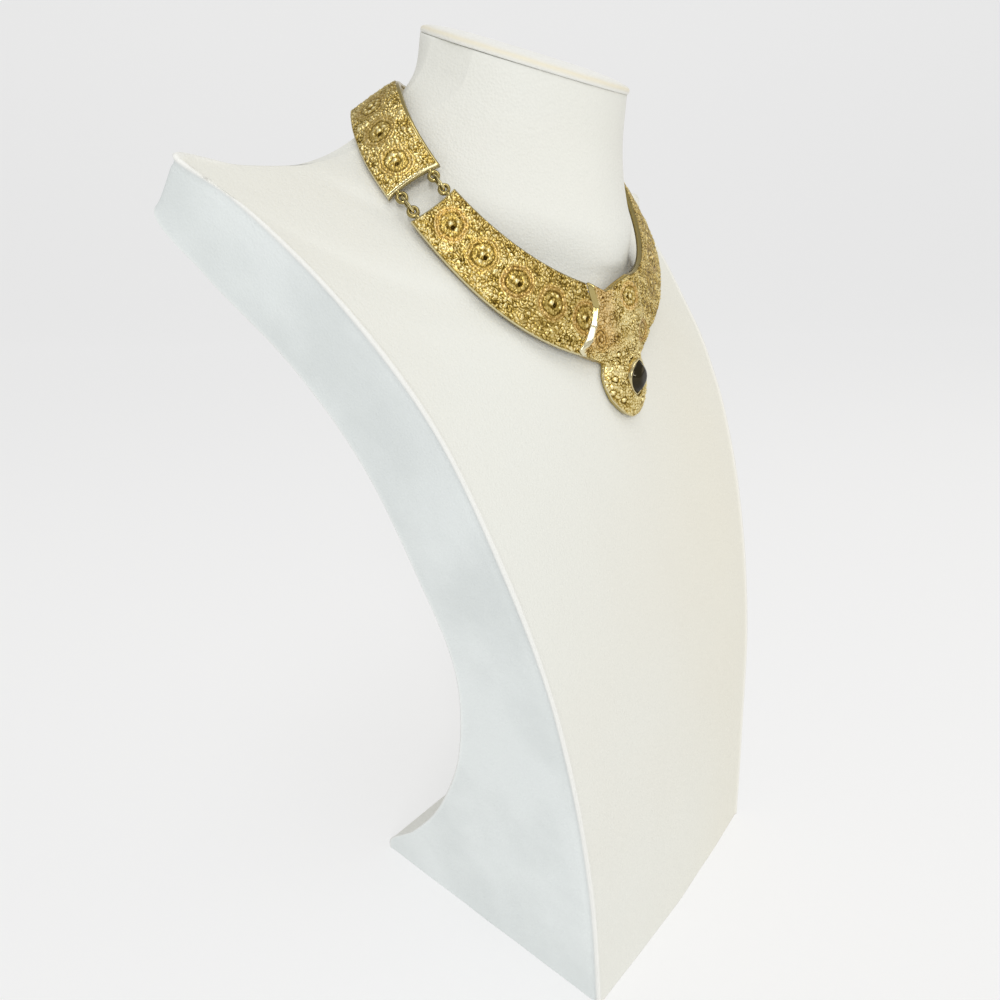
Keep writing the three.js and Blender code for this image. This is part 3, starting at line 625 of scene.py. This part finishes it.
def outward(rings):
    """Normals of closed rings that are stacked upwards, facing outward."""
    side = np.roll(rings, -1, 1) - np.roll(rings, 1, 1)
    return unit(np.cross(side, np.gradient(rings, axis=0)))


def soften_front(grid, v, columns):
    """Smooths the front cover up and down at the shoulders and the foot of the neck, in place."""
    within = falls(np.abs(np.linspace(-1, 1, columns)), 1, SOFTENED.by_seam)[None]
    middle = 1 - rises(np.abs(grid[:, :columns, 0]), *SOFTENED.neck_to_x)
    at_neck = ridge(v, *SOFTENED.neck)[:, None] * middle
    weight = np.maximum(ridge(v, *SOFTENED.shoulder)[:, None], at_neck) * within
    for _ in range(SOFTENED.passes):
        front = grid[:, :columns]
        moved = (np.roll(front, 1, 0) + np.roll(front, -1, 0)) / 2 - front
        grid[:, :columns] = front + moved * weight[..., None]


def seam_distances(grid, edge_at, strip_columns):
    """How far each place lies from the nearest seam, positive on the strips, and from the rear edge."""
    rows, columns = grid.shape[:2]
    steps = np.linalg.norm(np.diff(grid, axis=1), axis=-1)
    run = np.concatenate([np.zeros((rows, 1)), np.cumsum(steps, 1)], 1)
    total = run[:, -1:] + np.linalg.norm(grid[:, 0] - grid[:, -1], axis=-1)[:, None]
    seam = rear = np.full(run.shape, np.inf)
    for k, sign in ((0, -1), (edge_at, 1)):
        gone = (run - run[:, k:k + 1] + total / 2) % total - total / 2
        seam = np.where(np.abs(gone) < np.abs(seam), sign * gone, seam)
    for k in (edge_at + strip_columns + 1, columns - strip_columns - 1):
        rear = np.minimum(rear, np.abs(run - run[:, k:k + 1]))
    return seam, rear


def make_bust():
    by_seam = np.array(BUST_MESH.by_seam)
    half = np.r_[1 - by_seam, np.linspace(*BUST_MESH.front)]
    across = np.r_[-1, -half, 0, half[::-1], 1]
    strip = np.r_[by_seam * BUST_MESH.strip_spread, np.linspace(*BUST_MESH.strip), 1 - by_seam[::-1]]
    v = np.linspace(0, 1, BUST_MESH.rows)
    grid = bust_grid(v, across, strip, np.linspace(-1, 1, BUST_MESH.back))
    soften_front(grid, v, len(across))
    edge_at = len(across) - 1
    seam, rear = seam_distances(grid, edge_at, len(strip))
    is_strip = np.zeros(grid.shape[1], bool)
    is_strip[edge_at + 1:edge_at + 1 + len(strip)] = True
    is_strip[-len(strip):] = True

    # welts along the seams, dents in the strips, and a slight swell all over
    x, y, z = np.moveaxis(grid, -1, 0)
    below_neck = 1 - rises(v, *WELT.up_to)[:, None]
    welts = ridge(seam, *WELT.bead) - ridge(seam, *WELT.groove) + ridge(rear, *WELT.rear)
    dented = DENTS.depth * wavy(x, z * DENTS.upright, DENTS.size, DENTS.seed)
    from_seam = rises(np.minimum(np.abs(seam), rear), 0, DENTS.from_seam)
    dents = np.where(is_strip[None], dented, 0) * from_seam
    swell = SWELL.depth * wavy(y + x, z, SWELL.size, SWELL.seed)
    # painted highlight: the welts and the rear edge paler, as if their beads caught the light
    pale = np.clip((ridge(seam, *WELT.pale) + ridge(rear, *WELT.pale_rear)) * below_neck, 0, 1)
    cool = np.where(is_strip[None], 1, 0) * (1 - bell(seam, STRIP_EDGE)) * below_neck
    # painted warm light, from the right
    warm = ridge(x, *WARM_LIT_SIDE) * below_neck
    shades = stacked(cool, pale * WELT.palest, warm).reshape(-1, 3)
    grid = grid + outward(grid) * (welts * below_neck + (swell + dents))[..., None]
    grid[0, :, 2] = 0
    grid[..., 2] = np.maximum(grid[..., 2], 0)
    points, faces = loft(grid)
    make_piece("bust_cover", points, faces, cover, ["neck_bust"], shades)


def make_cap():
    (front_y, front_z), _, _, (back_y, back_z), _ = BUST_ROWS[-1]
    run, rise = back_y - front_y, back_z - front_z
    tilt = math.atan2(rise, run)
    rx = CAP.rx
    angle = around(CAP_FACE.sides)
    rings = []
    for share, inset, h in CAP_SECTION:
        r = rx * share - inset
        y = r * np.sin(angle) * CAP.ry / rx
        up = h + CAP_FACE.seat + ridge(h, *CAP_FACE.pucker) * np.sin(angle * CAP_FACE.puckers)
        rings.append(stacked(
            r * np.cos(angle),
            y * math.cos(tilt) - up * math.sin(tilt) + front_y + run / 2,
            y * math.sin(tilt) + up * math.cos(tilt) + front_z + rise / 2,
        ))
    points, faces = loft(rings)
    warm = np.repeat([ridge(h, *CAP_FACE.warm) for _, _, h in CAP_SECTION], len(angle))
    # painted light: the cap is made paler than the cover, standing in for the light from above; its rim
    # band is warm
    shades = stacked(0 * warm, CAP_FACE.palest * (1 - warm), CAP_FACE.warmest * warm)
    cap = make_piece("cap_pad", points, faces, cover, ["neck_cap"], shades)


# ---- collar
def nape_share(u, full):
    return rises(180 * u, NAPE.start, full - NAPE.start)


def collar_at(u):
    """The collar's line round the left half of the neck, u from 0 in front to 1 at the nape."""
    u = np.asarray(u, float)
    t = u * math.pi
    pinched = 1 - NAPE.pinch * nape_share(u, NAPE.full)
    x = -sum(a * np.sin((i + 1) * t) for i, a in enumerate(COLLAR.xs)) * pinched
    ahead = sum(b * np.cos((i + 1) * t) for i, b in enumerate(COLLAR.ys))
    run = sum(COLLAR.ys) - ahead
    climbed = COLLAR.front_z + COLLAR.climb * run + COLLAR.climb_more * run * run
    over = np.maximum(0, climbed - COLLAR.level_z)
    z = climbed - over + COLLAR.level_rise * np.tanh(over / COLLAR.level_rise)
    return stacked(x, COLLAR.mid_y - ahead + NAPE.reach * nape_share(u, 180), z)


LINE_U = np.linspace(0, 1, 4001)
LINE_S = run_along(collar_at(LINE_U))
HALF_LOOP = LINE_S[-1]


def askew_at(s, key):
    """How far the right half has left its level hang a length s along the collar."""
    level = lerp(ASKEW.middle[key], ASKEW.side[key], rises(s, *ASKEW.grows))
    return (1 - rises(s, *ASKEW.fades)) * level


def line_at(u, is_askew):
    point = collar_at(u)
    if not is_askew:
        return point
    s = np.interp(u, LINE_U, LINE_S)
    return point + np.stack([askew_at(s, key) for key in ("inward", "back", "lift")], -1)


def band_point(s, w, h, is_askew=False):
    """A place on the band: s along it, w up across it, h out from its face; past the nape in a mirror."""
    s, w, h = np.broadcast_arrays(*(np.asarray(q, float) for q in (s, w, h)))
    past = s > HALF_LOOP
    u = np.interp(np.where(past, 2 * HALF_LOOP - s, s), LINE_S, LINE_U)
    nudge = 1e-4
    along = unit(line_at(u + nudge, is_askew) - line_at(u - nudge, is_askew))
    slope = sum(a * np.cos(i * u * math.pi) for i, a in enumerate(COLLAR.slope))
    slope = slope - NAPE.flatter * nape_share(u, NAPE.full)
    if is_askew:
        slope = slope - askew_at(s, "flatter")
    slope = np.radians(slope)
    inward = unit(stacked(along[..., 1], -along[..., 0], 0 * u))
    width = inward * np.cos(slope)[..., None]
    width[..., 2] += np.sin(slope)
    width = unit(width - along * (width * along).sum(-1, keepdims=True))
    out = np.cross(width, along)
    point = line_at(u, is_askew) + width * w[..., None] + out * h[..., None]
    point[..., 0] = np.where(past, -point[..., 0], point[..., 0])
    return point


def edges_at(kind, s):
    """A panel's lower and upper edge, as w."""
    if kind == "back":
        return 0 * s - BACK_WIDTH / 2, 0 * s + BACK_WIDTH / 2
    share = np.clip(s / HINGE_END, 0, 1)
    half = lerp(FRONT_WIDTHS.inner, FRONT_WIDTHS.outer, share) / 2
    return -half - FRONT_WIDTHS.belly * np.sin(math.pi * share) ** 2, half


# ---- the centre piece's outline
def rounded_outline(count):
    """The centre piece's corners joined by a smooth line, in even steps along it."""
    corners = np.array(CENTRE_OUTLINE, float)
    a, b, c, d = (np.roll(corners, -k, 0)[:, None] for k in range(-1, 3))
    t = np.linspace(0, 1, OUTLINE_CURVE.steps, endpoint=False)[None, :, None]
    leave, arrive = OUTLINE_CURVE.ease * (c - a), OUTLINE_CURVE.ease * (d - b)
    bend = t ** 2 * (3 - 2 * t)
    line = b + (c - b) * bend + leave * (t - 2 * t ** 2 + t ** 3) + arrive * (t ** 3 - t ** 2)
    ring = np.vstack([line.reshape(-1, 2), line[0, :1]])
    run = run_along(ring)
    at = np.linspace(0, run[-1], count, endpoint=False)
    return stacked(np.interp(at, run, ring[:, 0]), np.interp(at, run, ring[:, 1]))


def in_outline(x, z, grow):
    """Whether points lie inside the centre piece's outline, grown by a gap."""
    hub = np.array(HUB)
    corners = rounded_outline(OUTLINE_CURVE.corners) - hub
    corners = corners * (1 + grow / np.linalg.norm(corners, axis=1))[:, None] + hub
    inside = np.zeros(x.shape, bool)
    for (ax, az), (bx, bz) in zip(corners, np.roll(corners, -1, 0)):
        crosses = (az > z) != (bz > z)
        inside ^= crosses & (x < ax + (z - az) / np.where(bz == az, 1, bz - az) * (bx - ax))
    return inside


def centre_end(side, first, fractions, h):
    """Where a front panel meets the centre piece at a height h, for each place across its width."""
    step = END_SEARCH.step
    s = np.arange(first, END_SEARCH.to, step)[:, None]
    low, high = edges_at("front", s)
    p = band_point(s + 0 * fractions, lerp(low, high, fractions[None]), h, side < 0)
    inside = in_outline(p[..., 0] * side, p[..., 2], PANEL_GAP)
    last = np.where(inside.any(0), len(s) - 1 - inside[::-1].argmax(0), 0)
    return s[last, 0] + step


# ---- panels
def panel_ends(kind, side, start, fractions):
    """A panel's ends for each place across it: near at its face and at its back, and far."""
    bow = 1 - (2 * fractions - 1) ** 2
    if kind == "back":
        near = start + END_HOLLOW * bow
        return near, near, BACK_END + 0 * bow
    crown = BAND.crown * bow
    near = centre_end(side, start, fractions, crown + PANEL_FACE.top)
    behind = centre_end(side, start, fractions, crown - BAND.thickness)
    return near, behind, HINGE_END - END_HOLLOW * bow


def with_flowers(height, x, y, places, seed):
    """The height with cast rosettes laid over it, and their coppery share. places are x, y, radius."""
    copper = np.zeros(height.shape)
    for k, (cx, cy, radius) in enumerate(places):
        rise, covers, ring = flower(x - cx, y - cy, radius, seed + k)
        height = lerp(height, rise, covers)
        copper = np.maximum(copper, ring * covers)
    return height, copper


def make_panel(kind, hand, side, start, seed):
    """A cast panel: its face as a fine grid, a coarser back, and its eyes. side -1 turns it over."""
    every = PANEL_MESH.behind
    end = HINGE_END if kind == "front" else BACK_END
    lengths = end - start, PANEL_MESH.width
    rows, columns = (every * round(d / PANEL_MESH.cell / every) + 1 for d in lengths)
    f, t = np.linspace(0, 1, columns), np.linspace(0, 1, rows)[:, None]
    near, near_behind, far = panel_ends(kind, side, start, f)
    s = lerp(near[None], far[None], t)
    low, high = edges_at(kind, s)
    w = lerp(low, high, f[None])
    across = 2 * f[None] - 1
    crown = BAND.crown * (1 - across ** 2)

    # the face: pebbles and rosettes, with plain polished strips along the edges and the hinge end
    looks, fade = PANEL_LOOKS[kind], PANEL_FACE.fade
    edge = np.minimum(w - low, high - w)
    tip = far[None] - s if kind == "front" else s - near[None]
    rim = np.where(across > 0, looks.upper, looks.lower)
    clear = rises(edge, rim, fade) * rises(tip, looks.tip, fade)
    swell, swell_size = PANEL_FACE.swell
    pebbles = PANEL_FACE.relief * crinkled(s, w * side, PANEL_FACE.pitch, seed)
    height = pebbles + swell * wavy(s, w, swell_size, seed + 1)
    first, step, count, below = ROSETTE_ROWS[kind]
    places = [(k * step, -below, ROSETTE_RADIUS) for k in range(count)]
    height, copper = with_flowers(height, s - first, w, places, seed * 10)
    height = height * clear
    depth, reach = PANEL_FACE.round
    rounded = crown + height - depth * (1 - smooth(edge / reach))
    top = band_point(s, w, rounded, side < 0)
    s_behind = lerp(near_behind[None], far[None], t)[::every, ::every]
    rear_height = crown[:, ::every] - BAND.thickness
    rear = band_point(s_behind, w[::every, ::every], rear_height, side < 0)

    # tone from height: painted shade in the hollows, painted highlights on the crests
    bright = np.clip((height - looks.dark) / looks.span, 0, 1)
    # painted light on the plain strips: the upper edge painted shaded, the lower edge painted lit
    edge_painted_light = np.where(across > 0, PANEL_FACE.upper_tone, PANEL_FACE.lower_tone)
    plain = lerp(edge_painted_light, PANEL_FACE.tip_tone, rises(edge, rim, PANEL_FACE.tip_fade))
    face_shade = stacked(lerp(plain, bright, clear), copper * clear, 1 - clear).reshape(-1, 3)
    parts, shades = [plate(top, rear, every)], [face_shade, np.tile(PLAIN_BACK, (rear[..., 0].size, 1))]
    for eye_s, eye_w, towards in PANEL_EYES[kind]:
        points, faces = eye(eye_s, eye_w, towards, side < 0)
        parts.append((points, faces))
        shades.append(np.tile(EYE_METAL, (len(points), 1)))
    points, faces = together(parts)
    make_piece(f"{kind}_casting_{hand}", points * [side, 1, 1], faces, gilt,
               [f"{kind}_panel_{hand}"], np.concatenate(shades))


# ---- eyes, links, clasp
def eye(s, w, towards, is_askew):
    """A cast eye at a panel's end, with the tab that holds it. towards is 1 or -1 along the collar."""
    a, b = around(40)[:, None], around(16)[None]
    reach = EYE.ring + EYE.wire * np.cos(b)
    ring = band_point(s + towards * EYE.reach + reach * np.cos(a), w + reach * np.sin(a),
                      EYE.lift + EYE.wire * np.sin(b) + 0 * a, is_askew)
    inner = EYE.reach - EYE.ring
    c = around(EYE_TAB.sides)
    tab = []
    for step in np.linspace(0, 1, EYE_TAB.rings):
        at = s + towards * lerp(inner - EYE_TAB.start, inner - EYE_TAB.to, step)
        half = lerp(*EYE_TAB.half, step)
        tab.append(band_point(at + 0 * c, w + half * np.cos(c),
                              EYE.lift + EYE_TAB.thick * np.sin(c), is_askew))
    return together([loft(ring, is_loop=True), loft(tab)])


def standing_ring(s, w, half, rise, wire, is_askew=False):
    """An oval ring of wire that stands up from the band."""
    a, b = around(48, 0.5)[:, None], around(14)[None]
    reach = wire * np.cos(b)
    x = (rise + reach) * np.cos(a) + (half - rise) * np.sign(np.cos(a))
    z = (rise + reach) * np.sin(a)
    return loft(band_point(s + x, w + wire * np.sin(b) + 0 * a, EYE.lift + z, is_askew), is_loop=True)


def make_links():
    middle = (HINGE_END + BACK_START) / 2
    for level, w in (("lower", -EYE.spread), ("upper", EYE.spread)):
        for hand, side in (("left", 1), ("right", -1)):
            points, faces = standing_ring(middle, w, LINK.half, LINK.rise, LINK.wire, side < 0)
            make_piece(f"oval_link_{hand}_{level}", points * [side, 1, 1], faces, wire_gold,
                       [f"link_{hand}_{level}"])


def make_clasp():
    angle = around(CLASP_FACE.sides)
    round_off = zip((np.cos(angle), np.sin(angle)), CLASP_FACE.square)
    across, out = (np.sign(q) * np.abs(q) ** power for q, power in round_off)
    bar = []
    for step in np.linspace(-1, 1, CLASP_FACE.rings):
        squeeze = max((1 - abs(step) ** CLASP_FACE.taper) ** 0.5, CLASP_FACE.least)
        x = across * CLASP.width / 2 * squeeze
        y = out * CLASP.thickness / 2 * squeeze
        bar.append(band_point(HALF_LOOP + step * CLASP.half + 0 * angle, x, y + EYE.lift))
    eye_at = BACK_END + EYE.reach
    half = (HALF_LOOP - CLASP.half + CLASP.lap - eye_at) / 2
    ends = [standing_ring(at, 0, half, LINK.rise, LINK.wire)
            for at in (eye_at + half, 2 * HALF_LOOP - eye_at - half)]
    points, faces = together([loft(bar), *ends])
    make_piece("clasp_bar", points, faces, wire_gold, ["clasp"])


# ---- centre piece
def chest_depth(x, z):
    """y of the bust's front."""
    front_y, front_z = zip(*(row[0] for row in BUST_ROWS))
    edge_x, edge_y, edge_z = zip(*(row[1] for row in BUST_ROWS[:CHEST_ROWS]))
    share = np.abs(x / np.interp(z, edge_z, edge_x)) ** FALL_DEPTH
    return lerp(np.interp(z, front_z, front_y), np.interp(z, edge_z, edge_y), share)


def lip_share(z):
    return rises(z, *LIP_FACE.grows)


def lip_foot(z):
    return np.interp(z, *zip(*LIP))


def face_depth(x, z):
    """y of the smooth face: the shield with its ridge, valleys and wall, and the domed drop below."""
    levels, ridge_x, ridge_y = zip(*CENTRE_RIDGE)
    aside = np.abs(x - np.interp(z, levels, ridge_x))
    beyond = np.maximum(0, aside - VALLEY.reach)
    valley = VALLEY.depth * smooth(aside / VALLEY.reach) + VALLEY.fall * beyond
    behind_crest = np.maximum(0, x - lip_foot(z) - BEVEL.run)
    down = behind_crest / (LIP_FACE.width - BEVEL.run)
    lip = LIP_FACE.height * lip_share(z) * smooth(1 - down)
    rim = chest_depth(x, z) - DROP.off_chest - DROP.rim
    shield = np.minimum(np.interp(z, levels, ridge_y) + valley - lip, rim)
    reach = np.hypot((x - DROP.x) / DROP.rx, (z - DROP.z) / DROP.rz)
    drop = rim - DROP.dome * np.maximum(0, 1 - reach ** 2) ** DROP.fullness
    return lerp(drop, shield, rises(z, *DROP_TO_SHIELD))


def rear_depth(x, z):
    upper = rises(z, *CENTRE_THICKNESS.thins)
    thickness = lerp(CENTRE_THICKNESS.shield, CENTRE_THICKNESS.crest, upper)
    return np.minimum(chest_depth(x, z) - DROP.off_chest, face_depth(x, z) + thickness)


def with_studs(height, x, z):
    """The height with the cast studs, each in a groove and with a pit, and a mask of painted shade in
    each stud's pit.
    """
    pits = np.zeros(height.shape)
    pit, pit_x, pit_z, pit_width = STUD.pit
    for sx, sz in STUDS:
        far = np.hypot(x - sx, z - sz)
        bead = np.maximum(dome(far / STUD.radius), STUD.low)
        height = np.where(far < STUD.foot, bead, height) - ridge(far, *STUD.groove)
        hole = bell(np.hypot(x - sx - pit_x, z - sz - pit_z), pit_width)
        height = height - pit * hole
        pits = np.maximum(pits, hole)
    return height, pits


def make_centre():
    outline = rounded_outline(CENTRE_MESH.columns)
    hub = np.array(HUB)

    def towards_hub(shares):
        return np.moveaxis(hub + (outline - hub)[None] * shares[:, None, None], -1, 0)

    inmost, next_in = CENTRE_MESH.inmost
    shares = np.r_[inmost, np.linspace(next_in, 1, CENTRE_MESH.rings)]
    x, z = towards_hub(shares)
    edge = np.linalg.norm(outline - hub, axis=1)[None] * (1 - shares[:, None])

    # the face: pebbles, rosettes and studs, plain along the rim and on the wall
    by_lip = falls(x, LIP_FACE.width + lip_foot(z), LOOKS.wall_width) * rises(z, *LOOKS.wall_from)
    inside_bevel = rises(edge - BEVEL.run, *LOOKS.wall_foot)
    clear = rises(edge, *LOOKS.rim) * (1 - by_lip * (1 - inside_bevel))
    swell, swell_size = CENTRE_FACE.swell
    pebbles = CENTRE_FACE.relief * crinkled(x, z, CENTRE_FACE.pitch, SEEDS.pebbles)
    height = pebbles + swell * wavy(x, z, swell_size, SEEDS.swell)
    height, copper = with_flowers(height, x, z, CENTRE_ROSETTES, SEEDS.rosettes)
    height, pits = with_studs(height, x, z)
    pocket = marquise_inside(x - STONE.x, z - STONE.z, BEZEL.wall + POCKET.round)
    height = np.where(pocket, -POCKET.deep, height) * clear
    bevel = BEVEL.drop * by_lip * lip_share(z) * np.clip(1 - edge / BEVEL.run, 0, 1)
    depth = face_depth(x, z) - height + bevel
    depth = np.where(pocket, np.maximum(depth, seat() - GAP + POCKET.under), depth)

    # the wall round it and the back
    steps = np.linspace(0, 1, CENTRE_MESH.wall)[1:, None]
    wall_x, wall_z = (q + 0 * steps for q in outline.T)
    wall = stacked(wall_x, lerp(depth[-1], rear_depth(*outline.T), steps), wall_z)
    back_x, back_z = towards_hub(np.array(CENTRE_MESH.back))
    back = stacked(back_x, rear_depth(back_x, back_z), back_z)
    points, faces = loft(np.concatenate([stacked(x, depth, z), wall, back]))

    on_drop = falls(z, *LOOKS.drop_to)
    # painted light on the wall at the left: its lower part pale as a lit highlight, its upper part darker
    # as painted shade
    lit = rising(*LOOKS.wall_tone, falls(z, *LOOKS.lit_to))
    # tone from height, brighter on the drop: painted shade in the hollows, painted highlights on the
    # crests
    bright = np.clip((height - rising(*LOOKS.dark, on_drop)) / rising(*LOOKS.span, on_drop), 0, 1)
    # painted shade darkens each stud's pit
    bright = bright * (1 - LOOKS.pits * pits)
    tone = lerp(lerp(rising(*LOOKS.rim_tone, on_drop), lit, by_lip), bright, clear)
    left_up = falls(x, *LOOKS.copper_to_x)
    patch = LOOKS.copper * left_up * rises(z, *LOOKS.copper_from_z)
    copper = np.maximum(copper, patch) * clear
    face_shade = stacked(tone, copper, 1 - clear).reshape(-1, 3)
    run = np.cumsum(np.linalg.norm(outline - np.roll(outline, 1, 0), axis=1))[None]
    down = CENTRE_THICKNESS.shield * steps + 0 * run
    pebbles = crinkled(run + 0 * steps, down, CENTRE_FACE.wall_pitch, SEEDS.wall)
    # the side walls' tone follows their pebbles: painted shade in the hollows, painted highlights on the
    # crests
    rough = rising(*LOOKS.side_tone, pebbles)
    plain = np.maximum(by_lip[-1], on_drop[-1])[None]
    side_tone = lerp(rough, lerp(LOOKS.drop_side_tone, lit[-1], by_lip[-1]), plain)
    side_shade = stacked(side_tone, 0 * rough, plain + 0 * rough).reshape(-1, 3)
    back_shade = np.tile(PLAIN_BACK, (back_x.size, 1))
    make_piece("centre_casting", points, faces, gilt, ["centre_piece"],
               np.concatenate([face_shade, side_shade, back_shade]))


def marquise(grow, count=96):
    """The stone's outline about its middle, grown."""
    a = around(count)
    across = np.cos(a) * np.abs(np.cos(a)) ** MARQUISE_POINT
    return stacked(across * (STONE.half_width + grow), np.sin(a) * (STONE.half_height + grow))


def marquise_inside(x, z, grow):
    share = np.clip(np.abs(z) / (STONE.half_height + grow), 0, 1)
    half = (STONE.half_width + grow) * np.cos(np.arcsin(share)) ** (1 + MARQUISE_POINT)
    return np.abs(x) < half


def at_stone(flat, y):
    """A ring about the stone's middle, at a depth y."""
    return stacked(flat[:, 0] + STONE.x, y + 0 * flat[:, 0], flat[:, 1] + STONE.z)


def seat():
    return float(face_depth(np.array(float(STONE.x)), np.array(STONE.z))) + STONE.seat


def make_bezel_and_stone():
    rim = seat() - BEZEL.height
    rings = [at_stone(marquise(grow), rim + back) for grow, back in BEZEL_SECTION]
    points, faces = loft(rings, closed_ends=False)
    make_piece("bezel", points, faces, gilt, shades=np.tile(BRIGHT_METAL, (len(points), 1)))

    flank, shoulder = STONE_DOME.flank, STONE_DOME.shoulder
    shares = np.linspace(1, STONE_DOME.top, STONE_DOME.rings)
    crown = shoulder + (STONE.crown - shoulder) * (1 - (shares / flank) ** STONE_DOME.fullness)
    depths = rim - np.where(shares > flank, shoulder * (1 - shares) / (1 - flank), crown)
    rings = [at_stone(marquise(0) * share, y) for share, y in [(1, seat() - GAP), *zip(shares, depths)]]
    points, faces = loft(rings)
    make_piece("marquise_stone", points, faces, stone_look, ["stone"])


# ---- the pieces
make_bust()
make_cap()
for hand, side, search_from, seed in (("left", 1, 24, 11), ("right", -1, 3, 17)):
    make_panel("front", hand, side, search_from, seed)
    make_panel("back", hand, side, BACK_START, seed + 3)
make_links()
make_clasp()
make_centre()
make_bezel_and_stone()


# ---- stage, light, camera, in metres
FLOOR = Sizes(half=4, near=-3, reach=2.2, bend=1.2, height=3, faces=51, grey=(0.45, 0.45, 0.45, 1))
LIGHTS = [  # name, place, size, power, colour
    ("key", (-1.5, -1.25, 1.05), (0.3, 0.95), 11, (1, 1, 1)),
    ("fill", (1, -1.3, 0.9), (1, 1), 3, (1, 0.9, 0.74)),
    ("top", (-0.4, -0.5, 1.8), (0.8, 0.8), 5, (1, 1, 1)),
]
LIT_PLACE = (0, 0, 0.22)
WORLD_STRENGTH = 0.56
CAMERA = Sizes(turns=(-50.99, 18.04, -1.16), lens=27.366, sensor=36, clip=(0.01, 30))
CAMERA_PLACE = (-256.05, -107.9, 274.92)  # in millimetres, y from the bust's front edge


def add_stage():
    """A pale floor that sweeps up behind into a wall."""
    reach, bend = FLOOR.reach, FLOOR.bend
    profile = [(FLOOR.near, 0), (reach, 0)]
    for q in np.radians(range(6, 91, 6)):
        profile.append((reach + bend * math.sin(q), bend - bend * math.cos(q)))
    profile.append((reach + bend, FLOOR.height))
    turn = math.radians(FLOOR.faces)
    ahead = Vector((math.sin(turn), math.cos(turn), 0))
    aside = Vector((math.cos(turn), -math.sin(turn), 0))
    points = [tuple(ahead * d + aside * k + Vector((0, 0, z)))
              for d, z in profile for k in (-FLOOR.half, FLOOR.half)]
    faces = [[2 * i, 2 * i + 1, 2 * i + 3, 2 * i + 2] for i in range(len(profile) - 1)]
    mesh = bpy.data.meshes.new("floor")
    mesh.from_pydata(points, [], faces)
    mesh.shade_smooth()
    floor = add_object("floor", mesh)
    look = Look("pale_floor")
    look.set(Base_Color=FLOOR.grey, Emission_Color=(1, 1, 1, 1), Emission_Strength=0.5,
             Roughness=0.9, Specular_IOR_Level=0.1)
    mesh.materials.append(look.material)


def add_light(name, place, size, power, colour):
    lamp = bpy.data.lights.new(name, "AREA")
    lamp.shape = "RECTANGLE"
    lamp.size, lamp.size_y = size
    lamp.energy = power
    lamp.color = colour
    obj = add_object(name, lamp)
    obj.location = place
    aim = Vector(LIT_PLACE) - Vector(place)
    obj.rotation_mode = "QUATERNION"
    obj.rotation_quaternion = aim.to_track_quat("-Z", "Y")


def add_world():
    world = bpy.data.worlds.new("studio")
    world.use_nodes = True
    colour, strength = world.node_tree.nodes["Background"].inputs[:2]
    colour.default_value = (1, 1, 1, 1)
    strength.default_value = WORLD_STRENGTH
    bpy.context.scene.world = world
    bpy.context.scene.view_settings.view_transform = "Standard"


def add_camera():
    azimuth, elevation, roll = map(math.radians, CAMERA.turns)
    level = math.cos(elevation)
    back = Vector((math.sin(azimuth) * level, -math.cos(azimuth) * level, math.sin(elevation)))
    right = Vector((math.cos(azimuth), math.sin(azimuth), 0))
    turned = right * math.cos(roll) + back.cross(right) * math.sin(roll)
    data = bpy.data.cameras.new("camera")
    data.lens = CAMERA.lens
    data.sensor_width = CAMERA.sensor
    data.clip_start, data.clip_end = CAMERA.clip
    camera = add_object("camera", data)
    axes = Matrix((turned, back.cross(turned), back)).transposed()
    x, y, z = CAMERA_PLACE
    place = Vector((x, y + FRONT_EDGE, z)) * MM
    camera.matrix_world = Matrix.Translation(place) @ axes.to_4x4()
    bpy.context.scene.camera = camera


add_stage()
for light in LIGHTS:
    add_light(*light)
add_world()
add_camera()
